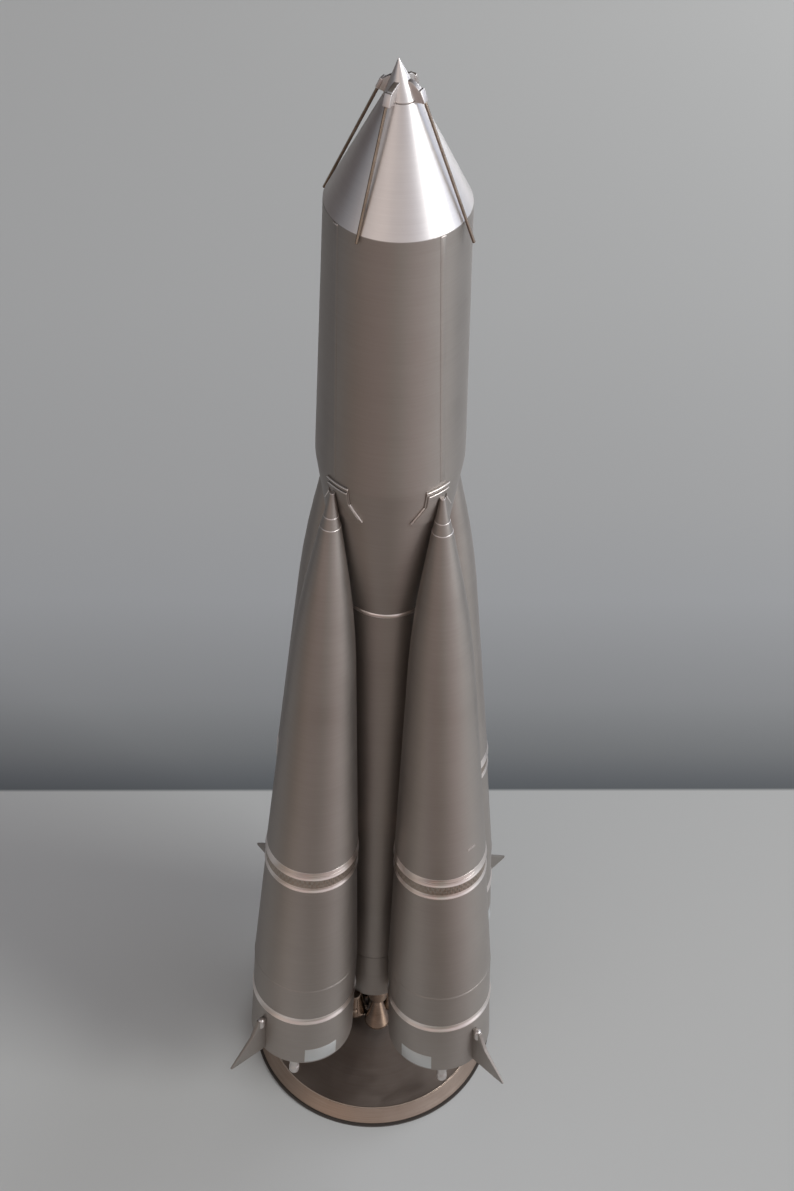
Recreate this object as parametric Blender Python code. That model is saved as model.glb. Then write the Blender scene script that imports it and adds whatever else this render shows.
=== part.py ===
"""Satin metal desk model of a space rocket with four boosters, on a round bronze base.

The origin is the middle of the base's underside, on the table, and +Z is up.
The four boosters stand on the diagonals, so -Y is close to the side that faces the viewer.
"""

import math

import bmesh
import bpy
from mathutils import Matrix, Vector

MM = 0.001
GAP = 0.3
QUARTER = math.pi / 2.0

# Round pieces are turned with these many sides.
CORE_SIDES = 40
BOOSTER_SIDES = 24
BASE_SIDES = 48
BELL_SIDES = 12
PEG_SIDES = 8

# Sizes are millimetres from here on. Base and post.
BASE_FOOT_RADIUS = 45.4
BASE_EDGE_HEIGHT = 1.2
BASE_TOP_RADIUS = 41.6
BASE_HEIGHT = 6.8
BASE_INLAY_RADIUS = 41.0
BASE_INLAY_DEPTH = 0.3
BASE_FOOT_CHAMFER = 0.4
POST_RADIUS = 2.1
POST_COLLAR_RADIUS = 4.6
POST_COLLAR_HEIGHT = 3.0
POST_COLLAR_CHAMFER = 0.6

# Core stage, by height above the table.
CORE_BOTTOM = 41.0
CORE_TAIL_RADIUS = 13.4
RING_BOTTOM = 253.6
RING_TOP = 255.2
RING_RADIUS = 13.8
KNEE_HEIGHT = 308.5
KNEE_RADIUS = 20.49
TANK_TOP = 388.6
TANK_TOP_RADIUS = 18.08
CONE_TOP = 416.5
CONE_TOP_RADIUS = 4.12
APEX_HEIGHT = 425.8
APEX_LEAN = 0.9
SPIGOT_HEIGHT = 1.0
SPIGOT_SHARE = 0.6

# The nose and the engine are turned this far from the boosters.
NOSE_TURN = math.radians(17.0)
ROD_RADIUS = 0.4
ROD_SIDES = 8
ROD_TOP = (6.1, 415.0)
ROD_FOOT = (21.0, 384.2)
BRACKET_THICKNESS = 1.2
BRACKET_CLEARANCE = 0.42
BRACKET_BOTTOM = 415.3
BRACKET_TOP = 420.4
BRACKET_OUTER_EDGE = ((6.9, 415.6), (7.0, 416.3), (6.1, 418.2), (4.9, 419.6), (3.6, 420.8))

# Pads on the core that the booster tips bear on.
PAD_HEIGHT_TOP = 309.3
PAD_HEIGHT_WAIST = 303.4
PAD_HEIGHT_FOOT = 296.2
PAD_HALF_WIDTH = 3.9
PAD_FOOT_HALF_WIDTH = 8.0
PAD_PROUD = 1.0
PAD_BLANK_RADII = (14.3, 26.3)
PAD_GUIDE_BOTTOM = 285.0
PAD_GUIDE_TOP = 320.0
PAD_CLEARANCE = 0.4

# Engine bells and small steering nozzles, all hung from a round plate.
CORE_BELL_CIRCLE = 7.0
CORE_BELL_EXIT = 4.6
CORE_BELL_LENGTH = 27.2
CORE_PLATE_THICKNESS = 1.2
CORE_PLATE_RADIUS = 12.6
CORE_PEG_CIRCLE = 14.2
CORE_PEG_RADIUS = 1.2
CORE_PEG_LUG = 2.2
CORE_PEG_LENGTH = 16.5
BELL_WALL = 0.45

# Points as shares of the exit radius and of the length, down the outside and up the inside.
LONG_BELL_OUTSIDE = (
    (0.82, 0.0), (0.82, 0.4), (0.36, 0.49), (0.42, 0.58), (0.56, 0.68), (0.8, 0.84), (1.0, 1.0))
LONG_BELL_INSIDE = ((1.0, 1.0), (0.78, 0.84), (0.52, 0.68))
LONG_BELL_FLOOR = 0.6
SHORT_BELL_OUTSIDE = ((0.5, 0.0), (0.66, 0.3), (0.85, 0.65), (1.0, 1.0))
SHORT_BELL_INSIDE = ((1.0, 1.0), (0.83, 0.66), (0.64, 0.34))
SHORT_BELL_FLOOR = 0.26
PEG_OUTSIDE = ((1.0, 0.1), (1.0, 0.62), (0.78, 0.66), (0.9, 1.0))
PEG_INSIDE = 0.6
PEG_LUG_DEPTH = 0.1
PEG_FLOOR = 0.85

# Boosters. Heights along a booster are measured on its own axis from its lower edge.
BOOSTER_FOOT = (35.99, 42.76)
BOOSTER_TIP = (20.98, 303.9)
SKIRT_FOOT_RADIUS = 18.72
SKIRT_RING_BOTTOM = 25.4
SKIRT_RING_TOP = 29.6
SKIRT_RING_RADIUS = 18.25
SKIRT_WALL = 1.1
SKIRT_RECESS = 3.0
SEAM_HEIGHT = 45.9
SEAM_RADIUS = 18.09
BAND_BOTTOM = 100.6
BAND_GROOVE_BOTTOM = 103.2
BAND_GROOVE_TOP = 107.0
BAND_TOP = 111.2
BAND_RADIUS = 15.15
BAND_TOP_RADIUS = 14.93
RING_RELIEF = 0.2
RING_SEAT_RELIEF = 0.04
BREAK_HEIGHT = 212.8
BREAK_RADIUS = 8.86
NOSE_RING_LOW = 250.4
NOSE_RING_LOW_RADIUS = 2.9
NOSE_RING_HIGH = 254.2
NOSE_RING_HIGH_RADIUS = 2.08
NOSE_RING_WIDTH = 0.5
NOSE_RING_PROUD = 0.1
NOSE_CAP_RADIUS = 0.77

BOOSTER_BELL_CIRCLE = 7.4
BOOSTER_BELL_EXIT = 4.4
BOOSTER_BELL_LENGTH = 9.5
BOOSTER_PLATE_THICKNESS = 1.6
BOOSTER_PEG_CIRCLE = 15.1
BOOSTER_PEG_RADIUS = 1.8
BOOSTER_PEG_LUG = 2.1
BOOSTER_PEG_LENGTH = 12.0
BOOSTER_PEG_ANGLE = math.radians(39.5)

FIN_HEIGHT = 20.0
FIN_TOP_REACH = 3.0
FIN_KNEE = (24.6, 12.4)
FIN_TIP = (34.0, 1.6)
FIN_BOTTOM = 0.8
FIN_TIP_CUT = 0.5
FIN_TOP_DROP = 0.6
FIN_ROOT_THICKNESS = 1.8
FIN_TIP_THICKNESS = 0.6

BOOSTER_NAMES = ("front_right", "back_right", "back_left", "front_left")

COLOURS = {
    "satin_body": ("7A7673", 1.0, 0.42),
    "bright_cone": ("C9C5C2", 1.0, 0.28),
    "polished_ring": ("CFC6C0", 1.0, 0.2),
    "knurled_band": ("5F5C59", 1.0, 0.55),
    "antenna_wire": ("8A6A4A", 1.0, 0.35),
    "nozzle": ("B89A78", 1.0, 0.35),
    "base_top": ("3A302B", 0.9, 0.45),
    "post_steel": ("8E8C8A", 1.0, 0.3),
}


def clear_scene():
    """Remove every object and mesh that the file holds."""
    for item in list(bpy.data.objects):
        bpy.data.objects.remove(item, do_unlink=True)
    for mesh in list(bpy.data.meshes):
        bpy.data.meshes.remove(mesh)


def linear(channel):
    """Turn one sRGB channel from 0 to 1 into linear light."""
    if channel <= 0.04045:
        return channel / 12.92
    return ((channel + 0.055) / 1.055) ** 2.4


def finish(name):
    """Return the named material, made the first time that it is asked for."""
    known = bpy.data.materials.get(name)
    if known:
        return known
    code, metallic, roughness = COLOURS[name]
    rgb = [linear(int(code[i:i + 2], 16) / 255.0) for i in (0, 2, 4)]
    material = bpy.data.materials.new(name)
    material.use_nodes = True
    shader = material.node_tree.nodes["Principled BSDF"]
    shader.inputs["Base Color"].default_value = (*rgb, 1.0)
    shader.inputs["Metallic"].default_value = metallic
    shader.inputs["Roughness"].default_value = roughness
    return material


def add_object(name, bm, material, parent=None):
    """Make an object from a bmesh, shade it smooth and hang it on its parent."""
    bmesh.ops.recalc_face_normals(bm, faces=bm.faces[:])
    mesh = bpy.data.meshes.new(name)
    bm.to_mesh(mesh)
    bm.free()
    mesh.materials.append(finish(material))
    mesh.shade_smooth()
    mesh.set_sharp_from_angle(angle=math.radians(30.0))
    item = bpy.data.objects.new(name, mesh)
    bpy.context.scene.collection.objects.link(item)
    item.parent = parent
    return item


def turn(bm, profile, sides, centre=(0.0, 0.0), tip_shift=None):
    """Turn a profile of (radius, height) points, axis to axis, into a closed solid in bm."""
    verts = [bm.verts.new((radius * MM, 0.0, height * MM)) for radius, height in profile]
    edges = [bm.edges.new(pair) for pair in zip(verts[:-1], verts[1:])]
    old = set(bm.verts) - set(verts)
    bmesh.ops.spin(
        bm, geom=verts + edges, cent=(0.0, 0.0, 0.0), axis=(0.0, 0.0, 1.0),
        angle=2.0 * math.pi, steps=sides, use_merge=True)
    new = [vert for vert in bm.verts if vert not in old]
    bmesh.ops.remove_doubles(bm, verts=new, dist=1e-6)
    new = [vert for vert in bm.verts if vert not in old]
    if tip_shift:
        lean, low, high = tip_shift
        for vert in new:
            share = max(0.0, (vert.co.z / MM - low) / (high - low))
            vert.co.x -= lean * share * MM
    bmesh.ops.translate(bm, verts=new, vec=(centre[0] * MM, centre[1] * MM, 0.0))
    return new


def turned(name, profile, material, sides=CORE_SIDES, parent=None, tip_shift=None):
    """Make one turned piece as an object of its own."""
    bm = bmesh.new()
    turn(bm, profile, sides, tip_shift=tip_shift)
    return add_object(name, bm, material, parent)


def socket(height, radius):
    """Points of a blind socket in a lower face, from the axis out to the rim."""
    inner = radius * SPIGOT_SHARE + GAP
    return [(0.0, height + SPIGOT_HEIGHT + GAP), (inner, height + SPIGOT_HEIGHT + GAP),
            (inner, height + GAP), (radius, height + GAP)]


def spigot(height, radius, share_radius):
    """Points of an upper face with a raised spigot, from the rim in to the axis."""
    inner = share_radius * SPIGOT_SHARE
    return [(radius, height), (inner, height), (inner, height + SPIGOT_HEIGHT),
            (0.0, height + SPIGOT_HEIGHT)]


def around(circle, angle):
    """Point on a circle, with the angle measured from -Y towards +X."""
    return circle * math.sin(angle), -circle * math.cos(angle)


def radius_between(low, high, height):
    """Radius at a height on the straight line between two (radius, height) points."""
    share = (height - low[1]) / (high[1] - low[1])
    return low[0] + (high[0] - low[0]) * share


def build_base():
    """Round base with a sloping rim and a sunk dark top."""
    profile = [
        (0.0, 0.0),
        (BASE_FOOT_RADIUS - BASE_FOOT_CHAMFER, 0.0),
        (BASE_FOOT_RADIUS, BASE_FOOT_CHAMFER),
        (BASE_FOOT_RADIUS, BASE_EDGE_HEIGHT),
        (BASE_TOP_RADIUS, BASE_HEIGHT),
        (BASE_INLAY_RADIUS, BASE_HEIGHT),
        (BASE_INLAY_RADIUS, BASE_HEIGHT - BASE_INLAY_DEPTH),
        (0.0, BASE_HEIGHT - BASE_INLAY_DEPTH),
    ]
    turned("stand_base", profile, "base_top", sides=BASE_SIDES)


def build_post():
    """Thin steel post that holds the rocket up in the middle of its core engine."""
    foot = BASE_HEIGHT - BASE_INLAY_DEPTH + GAP
    top = CORE_BOTTOM - CORE_PLATE_THICKNESS - 2.0 * GAP
    profile = [
        (0.0, foot),
        (POST_COLLAR_RADIUS, foot),
        (POST_COLLAR_RADIUS, foot + POST_COLLAR_HEIGHT - POST_COLLAR_CHAMFER),
        (POST_COLLAR_RADIUS - POST_COLLAR_CHAMFER, foot + POST_COLLAR_HEIGHT),
        (POST_RADIUS, foot + POST_COLLAR_HEIGHT),
        (POST_RADIUS, top),
        (0.0, top),
    ]
    turned("stand_post", profile, "post_steel", sides=BELL_SIDES * 2)


def build_core():
    """Turned sections of the core stage, from the tail up to the nose."""
    tail = [(0.0, CORE_BOTTOM), (CORE_TAIL_RADIUS, CORE_BOTTOM)]
    tail += spigot(RING_BOTTOM, CORE_TAIL_RADIUS, CORE_TAIL_RADIUS)
    turned("core_tail_tank", tail, "satin_body")

    ring = socket(RING_BOTTOM, CORE_TAIL_RADIUS)[:-1]
    ring += [(RING_RADIUS, RING_BOTTOM + GAP)] + spigot(RING_TOP, RING_RADIUS, CORE_TAIL_RADIUS)
    turned("core_ring", ring, "polished_ring")

    taper_foot = radius_between((RING_RADIUS, RING_TOP), (KNEE_RADIUS, KNEE_HEIGHT), RING_TOP + GAP)
    taper = socket(RING_TOP, CORE_TAIL_RADIUS)[:-1]
    taper += [(taper_foot, RING_TOP + GAP)] + spigot(KNEE_HEIGHT, KNEE_RADIUS, CORE_TAIL_RADIUS)
    turned("core_taper", taper, "satin_body")

    tank = socket(KNEE_HEIGHT, CORE_TAIL_RADIUS)[:-1]
    tank += [(KNEE_RADIUS, KNEE_HEIGHT + GAP)] + spigot(TANK_TOP, TANK_TOP_RADIUS, CORE_TAIL_RADIUS)
    turned("core_upper_tank", tank, "satin_body")

    cone = socket(TANK_TOP, CORE_TAIL_RADIUS)[:-1]
    cone += [(TANK_TOP_RADIUS, TANK_TOP + GAP)] + spigot(CONE_TOP, CONE_TOP_RADIUS, CONE_TOP_RADIUS)
    turned("nose_cone", cone, "bright_cone")

    fairing = socket(CONE_TOP, CONE_TOP_RADIUS) + [(0.0, APEX_HEIGHT)]
    turned("nose_fairing", fairing, "bright_cone", tip_shift=(APEX_LEAN, CONE_TOP, APEX_HEIGHT))


def plate_body(bm, outline, thickness, frame):
    """Add a flat plate to bm: outline in (out, up) millimetres, thickness across, placed by frame."""
    half = thickness / 2.0
    face = bm.faces.new([bm.verts.new((out * MM, -half * MM, up * MM)) for out, up in outline])
    swept = bmesh.ops.extrude_face_region(bm, geom=[face])["geom"]
    moved = [item for item in swept if isinstance(item, bmesh.types.BMVert)]
    bmesh.ops.translate(bm, verts=moved, vec=(0.0, thickness * MM, 0.0))
    bmesh.ops.transform(bm, matrix=frame, verts=bm.verts[:])


def facing(angle):
    """Turn that takes +X to the direction at this angle from -Y towards +X."""
    return Matrix.Rotation(angle - QUARTER, 4, "Z")


def build_antennas():
    """Four brackets that straddle the fairing's seam, each with its long wire rod."""
    cone_low = (TANK_TOP_RADIUS, TANK_TOP)
    cone_high = (CONE_TOP_RADIUS, CONE_TOP)
    apex = (0.0, APEX_HEIGHT)
    outline = [
        (radius_between(cone_low, cone_high, BRACKET_BOTTOM) + BRACKET_CLEARANCE, BRACKET_BOTTOM),
        *BRACKET_OUTER_EDGE,
        (radius_between(cone_high, apex, BRACKET_TOP) + BRACKET_CLEARANCE, BRACKET_TOP),
        (CONE_TOP_RADIUS + BRACKET_CLEARANCE, CONE_TOP),
    ]
    for number, name in enumerate(BOOSTER_NAMES):
        angle = QUARTER / 2.0 + NOSE_TURN + number * QUARTER
        bm = bmesh.new()
        plate_body(bm, outline, BRACKET_THICKNESS, facing(angle))
        add_object("antenna_bracket_" + name, bm, "bright_cone")

        start = Vector((*around(ROD_TOP[0], angle), ROD_TOP[1])) * MM
        end = Vector((*around(ROD_FOOT[0], angle), ROD_FOOT[1])) * MM
        along = end - start
        rod = bmesh.new()
        bmesh.ops.create_cone(
            rod, cap_ends=True, cap_tris=False, segments=ROD_SIDES, radius1=ROD_RADIUS * MM,
            radius2=ROD_RADIUS * MM, depth=along.length)
        spin = Vector((0.0, 0.0, 1.0)).rotation_difference(along).to_matrix().to_4x4()
        bmesh.ops.transform(rod, matrix=Matrix.Translation((start + end) / 2.0) @ spin, verts=rod.verts[:])
        add_object("antenna_rod_" + name, rod, "antenna_wire")


def bell_profile(exit_radius, length, outside, inside, floor):
    """Open bell hung from height 0, from the shares that give its outside and its inside."""
    points = [(0.0, 0.0)]
    points += [(exit_radius * out, -length * down) for out, down in outside]
    points += [(exit_radius * out - BELL_WALL, -length * down) for out, down in inside]
    return points + [(0.0, -length * floor)]


def long_bell():
    """Core engine bell with its chamber and throat."""
    return bell_profile(
        CORE_BELL_EXIT, CORE_BELL_LENGTH, LONG_BELL_OUTSIDE, LONG_BELL_INSIDE, LONG_BELL_FLOOR)


def short_bell():
    """Booster engine bell, without a chamber."""
    return bell_profile(
        BOOSTER_BELL_EXIT, BOOSTER_BELL_LENGTH,
        SHORT_BELL_OUTSIDE, SHORT_BELL_INSIDE, SHORT_BELL_FLOOR)


def peg_profile(radius, lug, length):
    """Small steering nozzle with a wider lug at its top and an open end, hung from height 0."""
    points = [(0.0, 0.0), (lug, 0.0), (lug, -length * PEG_LUG_DEPTH)]
    points += [(radius * out, -length * down) for out, down in PEG_OUTSIDE]
    return points + [(radius * PEG_INSIDE, -length), (0.0, -length * PEG_FLOOR)]


def build_engine(name, plate, bells, pegs, parent=None):
    """Join a round plate with the bells and steering nozzles that it carries.

    plate is (radius, bottom, top), bells and pegs are (profile, sides, list of centres).
    """
    radius, bottom, top = plate
    bm = bmesh.new()
    turn(bm, [(0.0, bottom), (radius, bottom), (radius, top), (0.0, top)], BOOSTER_SIDES)
    engine = add_object(name, bm, "nozzle", parent)
    hung = bmesh.new()
    sunk = (top - bottom) / 2.0
    for profile, sides, centres in (bells, pegs):
        raised = [(out, up + bottom + (sunk if up == 0.0 else 0.0)) for out, up in profile]
        for centre in centres:
            turn(hung, raised, sides, centre=centre)
    tool = add_object(name + "_hung", hung, "nozzle", parent)
    tool.hide_render = True
    tool.display_type = "WIRE"
    join = engine.modifiers.new("join", "BOOLEAN")
    join.operation = "UNION"
    join.solver = "EXACT"
    join.object = tool
    return engine


def build_core_engine():
    """Core engine: four bells and, outside them, four small nozzles on lugs of the plate."""
    top = CORE_BOTTOM - GAP
    bottom = top - CORE_PLATE_THICKNESS
    first = QUARTER / 2.0 + NOSE_TURN
    bells = [around(CORE_BELL_CIRCLE, first + (i + 0.5) * QUARTER) for i in range(4)]
    pegs = [around(CORE_PEG_CIRCLE, first + i * QUARTER) for i in range(4)]
    build_engine(
        "core_engine",
        (CORE_PLATE_RADIUS, bottom, top),
        (long_bell(), BELL_SIDES, bells),
        (peg_profile(CORE_PEG_RADIUS, CORE_PEG_LUG, CORE_PEG_LENGTH), PEG_SIDES, pegs))


def booster_frame(name, angle):
    """Empty at the foot of a booster's axis: +Z up the axis, +X away from the core."""
    reach = BOOSTER_FOOT[0] - BOOSTER_TIP[0]
    rise = BOOSTER_TIP[1] - BOOSTER_FOOT[1]
    empty = bpy.data.objects.new("booster_frame_" + name, None)
    bpy.context.scene.collection.objects.link(empty)
    across, along = around(BOOSTER_FOOT[0], angle)
    empty.location = (across * MM, along * MM, BOOSTER_FOOT[1] * MM)
    empty.rotation_euler = (0.0, -math.atan2(reach, rise), angle - QUARTER)
    return empty, math.hypot(reach, rise)


def build_booster_body(name, frame, length):
    """Turned sections of one booster, from the skirt up to the tip."""
    def section(part, profile, material):
        turned("booster_" + part + "_" + name, profile, material, BOOSTER_SIDES, frame)

    recess = SKIRT_FOOT_RADIUS - SKIRT_WALL
    skirt = [
        (0.0, SKIRT_RECESS),
        (recess, SKIRT_RECESS),
        (recess, 0.0),
        (SKIRT_FOOT_RADIUS, 0.0),
        (SKIRT_RING_RADIUS + RING_SEAT_RELIEF, SKIRT_RING_BOTTOM),
        (SKIRT_RING_RADIUS + RING_RELIEF, SKIRT_RING_BOTTOM + RING_RELIEF),
    ]
    skirt += spigot(SKIRT_RING_TOP, SKIRT_RING_RADIUS + RING_RELIEF, SEAM_RADIUS)
    section("skirt", skirt, "satin_body")

    lower = socket(SKIRT_RING_TOP, SEAM_RADIUS)[:-1]
    lower += [(SKIRT_RING_RADIUS - RING_SEAT_RELIEF, SKIRT_RING_TOP + GAP), (SEAM_RADIUS, SEAM_HEIGHT)]
    lower += spigot(BAND_BOTTOM, BAND_RADIUS, BAND_RADIUS)
    section("lower_tank", lower, "satin_body")

    proud = BAND_RADIUS + RING_RELIEF
    band = socket(BAND_BOTTOM, BAND_RADIUS)[:-1] + [
        (proud, BAND_BOTTOM + GAP),
        (proud, BAND_GROOVE_BOTTOM),
        (BAND_RADIUS - RING_RELIEF, BAND_GROOVE_BOTTOM),
        (BAND_RADIUS - RING_RELIEF, BAND_GROOVE_TOP),
        (proud, BAND_GROOVE_TOP),
    ]
    band += spigot(BAND_TOP, BAND_TOP_RADIUS + RING_RELIEF, BAND_RADIUS)
    section("band", band, "knurled_band")

    upper = socket(BAND_TOP, BAND_RADIUS)[:-1]
    upper += [(BAND_TOP_RADIUS, BAND_TOP + GAP), (BREAK_RADIUS, BREAK_HEIGHT)]
    upper += spigot(NOSE_RING_LOW, NOSE_RING_LOW_RADIUS, NOSE_RING_LOW_RADIUS)
    section("upper_tank", upper, "satin_body")

    nose = socket(NOSE_RING_LOW, NOSE_RING_LOW_RADIUS)[:-1] + [
        (NOSE_RING_LOW_RADIUS + NOSE_RING_PROUD, NOSE_RING_LOW + GAP),
        (NOSE_RING_LOW_RADIUS - NOSE_RING_PROUD, NOSE_RING_LOW + GAP + NOSE_RING_WIDTH),
        (NOSE_RING_HIGH_RADIUS + NOSE_RING_PROUD, NOSE_RING_HIGH - NOSE_RING_WIDTH),
        (NOSE_RING_HIGH_RADIUS + NOSE_RING_PROUD, NOSE_RING_HIGH),
        (NOSE_RING_HIGH_RADIUS - NOSE_RING_PROUD, NOSE_RING_HIGH + NOSE_RING_PROUD),
        (NOSE_CAP_RADIUS, length),
        (0.0, length),
    ]
    section("nose", nose, "satin_body")


def build_booster_fin(name, frame):
    """Swept fin on the booster's outer side, thick at the root and thin at the tip."""
    root = SKIRT_FOOT_RADIUS + GAP
    outline = [
        (root, FIN_BOTTOM),
        (FIN_TIP[0] - FIN_TIP_CUT, FIN_BOTTOM),
        FIN_TIP,
        FIN_KNEE,
        (root + FIN_TOP_REACH, FIN_HEIGHT - FIN_TOP_DROP),
        (root, FIN_HEIGHT),
    ]
    bm = bmesh.new()
    plate_body(bm, outline, FIN_ROOT_THICKNESS, Matrix.Identity(4))
    for vert in bm.verts:
        share = (vert.co.x / MM - root) / (FIN_TIP[0] - root)
        vert.co.y *= 1.0 - share * (1.0 - FIN_TIP_THICKNESS / FIN_ROOT_THICKNESS)
    add_object("booster_fin_" + name, bm, "satin_body", frame)


def build_booster_engine(name, frame):
    """Booster engine: four open bells and two steering nozzles beside the fin."""
    bottom = SKIRT_RECESS - GAP - BOOSTER_PLATE_THICKNESS
    top = SKIRT_RECESS - GAP
    radius = SKIRT_FOOT_RADIUS - SKIRT_WALL - GAP
    circle = BOOSTER_BELL_CIRCLE
    bells = [around(circle, (i + 0.5) * QUARTER) for i in range(4)]
    pegs = [around(BOOSTER_PEG_CIRCLE, QUARTER + side * BOOSTER_PEG_ANGLE) for side in (-1.0, 1.0)]
    build_engine(
        "booster_engine_" + name,
        (radius, bottom, top),
        (short_bell(), BELL_SIDES, bells),
        (peg_profile(BOOSTER_PEG_RADIUS, BOOSTER_PEG_LUG, BOOSTER_PEG_LENGTH), PEG_SIDES, pegs),
        frame)


def build_pad(name, angle, frame, length):
    """Pad raised on the core's taper, hollowed to clear the booster's tip."""
    outline = [
        (-PAD_HALF_WIDTH, PAD_HEIGHT_TOP),
        (-PAD_HALF_WIDTH, PAD_HEIGHT_WAIST),
        (-PAD_FOOT_HALF_WIDTH, PAD_HEIGHT_FOOT),
        (PAD_FOOT_HALF_WIDTH, PAD_HEIGHT_FOOT),
        (PAD_HALF_WIDTH, PAD_HEIGHT_WAIST),
        (PAD_HALF_WIDTH, PAD_HEIGHT_TOP),
    ]
    bm = bmesh.new()
    inner, outer = PAD_BLANK_RADII
    verts = [bm.verts.new((inner * MM, side * MM, up * MM)) for side, up in outline]
    face = bm.faces.new(verts)
    swept = bmesh.ops.extrude_face_region(bm, geom=[face])["geom"]
    moved = [item for item in swept if isinstance(item, bmesh.types.BMVert)]
    bmesh.ops.translate(bm, verts=moved, vec=((outer - inner) * MM, 0.0, 0.0))
    bmesh.ops.transform(bm, matrix=facing(angle), verts=bm.verts[:])
    pad = add_object("booster_pad_" + name, bm, "satin_body")
    for part, operation in (("pad_outer", "INTERSECT"), ("pad_inner", "DIFFERENCE")):
        trim = pad.modifiers.new(part, "BOOLEAN")
        trim.operation = operation
        trim.solver = "EXACT"
        trim.object = bpy.data.objects[part]
    clear = bmesh.new()
    room = PAD_CLEARANCE + NOSE_RING_PROUD
    turn(clear, [
        (0.0, BREAK_HEIGHT),
        (BREAK_RADIUS + room, BREAK_HEIGHT),
        (NOSE_RING_LOW_RADIUS + room, NOSE_RING_LOW),
        (NOSE_CAP_RADIUS + room, length + room),
        (0.0, length + room),
    ], BOOSTER_SIDES)
    tool = add_object("pad_clearance_" + name, clear, "satin_body", frame)
    tool.hide_render = True
    tool.display_type = "WIRE"
    cut = pad.modifiers.new("clearance", "BOOLEAN")
    cut.operation = "DIFFERENCE"
    cut.solver = "EXACT"
    cut.object = tool


def build_pad_limits():
    """Turned guides that give the pads their inner and outer faces."""
    def skin(name, offset):
        ring = (RING_RADIUS, RING_TOP)
        knee = (KNEE_RADIUS, KNEE_HEIGHT)
        profile = [
            (0.0, PAD_GUIDE_BOTTOM),
            (radius_between(ring, knee, PAD_GUIDE_BOTTOM) + offset, PAD_GUIDE_BOTTOM),
            (KNEE_RADIUS + offset, KNEE_HEIGHT),
            (KNEE_RADIUS + offset, PAD_GUIDE_TOP),
            (0.0, PAD_GUIDE_TOP),
        ]
        guide = turned(name, profile, "satin_body", sides=CORE_SIDES * 2)
        guide.hide_render = True
        guide.display_type = "WIRE"

    skin("pad_inner", GAP)
    skin("pad_outer", GAP + PAD_PROUD)


def build_all():
    """Build every piece of the model."""
    clear_scene()
    build_base()
    build_post()
    build_core()
    build_core_engine()
    build_antennas()
    build_pad_limits()
    for number, name in enumerate(BOOSTER_NAMES):
        angle = QUARTER / 2.0 + number * QUARTER
        frame, length = booster_frame(name, angle)
        build_booster_body(name, frame, length)
        build_booster_fin(name, frame)
        build_booster_engine(name, frame)
        build_pad(name, angle, frame, length)


build_all()
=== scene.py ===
"""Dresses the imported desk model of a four-booster space rocket.

Sizes are millimetres in the rocket's own frame until a piece is finished, which turns it to metres.
Angles are measured from -Y, which faces the viewer, towards +X.
"""

import logging
import math
from dataclasses import dataclass, replace
from enum import Enum

import bmesh
import bpy
import numpy as np
from mathutils import Matrix, Vector


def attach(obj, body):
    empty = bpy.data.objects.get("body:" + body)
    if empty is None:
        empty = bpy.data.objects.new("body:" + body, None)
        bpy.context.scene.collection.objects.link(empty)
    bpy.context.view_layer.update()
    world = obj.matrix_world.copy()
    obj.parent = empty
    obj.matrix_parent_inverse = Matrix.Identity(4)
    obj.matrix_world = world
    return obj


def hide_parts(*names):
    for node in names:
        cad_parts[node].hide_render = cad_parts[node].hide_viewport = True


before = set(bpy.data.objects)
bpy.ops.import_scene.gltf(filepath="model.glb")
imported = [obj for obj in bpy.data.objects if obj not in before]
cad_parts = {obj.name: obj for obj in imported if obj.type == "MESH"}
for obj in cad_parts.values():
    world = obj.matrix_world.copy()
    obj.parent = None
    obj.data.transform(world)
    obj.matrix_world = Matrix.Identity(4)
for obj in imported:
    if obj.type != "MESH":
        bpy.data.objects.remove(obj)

LOG = logging.getLogger("rocket")
MM = 0.001
QUARTER = math.pi / 2.0
OWN_PLACE = "own_place"
OWN_TURN = "own_turn"

# A corner of a turned outline is (radius, height) or (radius, height, rounding).
Corner = tuple[float, ...]
Outline = list[Corner]

# Red, green and blue of a light.
Light = tuple[float, float, float]

CORE_SIDES = 192
BOOSTER_SIDES = 144
BELL_SIDES = 64
PEG_SIDES = 40
WIRE_SIDES = 20

EDGE_ROUNDING = 0.12
ROUNDING_STEPS = 3
HOLD_DISTANCE = 0.08

BOOSTER_NAMES = ("front_right", "back_right", "back_left", "front_left")
NOSE_TURN = math.radians(17.0)


# Materials.


def linear_colour(code: str) -> tuple[float, float, float, float]:
    """Turn an sRGB hex colour into linear light.

    Args:
        code: Six hex digits.

    Returns:
        Red, green, blue and a full alpha.
    """
    channels = [int(code[start:start + 2], 16) / 255.0 for start in (0, 2, 4)]
    light = [c / 12.92 if c <= 0.04045 else ((c + 0.055) / 1.055) ** 2.4 for c in channels]
    return (*light, 1.0)


def add_node(
        tree: bpy.types.NodeTree, kind: str, sockets: dict | None = None,
        **fields: object) -> bpy.types.Node:
    """Add one node, set its fields, and fill or link its inputs.

    Args:
        tree: Tree that the node joins.
        kind: Blender's name for the node type.
        sockets: Input names or numbers, each with a value or another node's output.
        fields: Properties of the node itself.

    Returns:
        The new node.
    """
    node = tree.nodes.new(kind)
    for name, value in fields.items():
        setattr(node, name, value)
    for key, value in (sockets or {}).items():
        if isinstance(value, bpy.types.NodeSocket):
            tree.links.new(value, node.inputs[key])
        else:
            node.inputs[key].default_value = value
    return node


class Lay(Enum):
    """Direction of the fine marks that the making of a piece leaves in it."""

    AROUND = "around"
    ALONG = "along"


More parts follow.
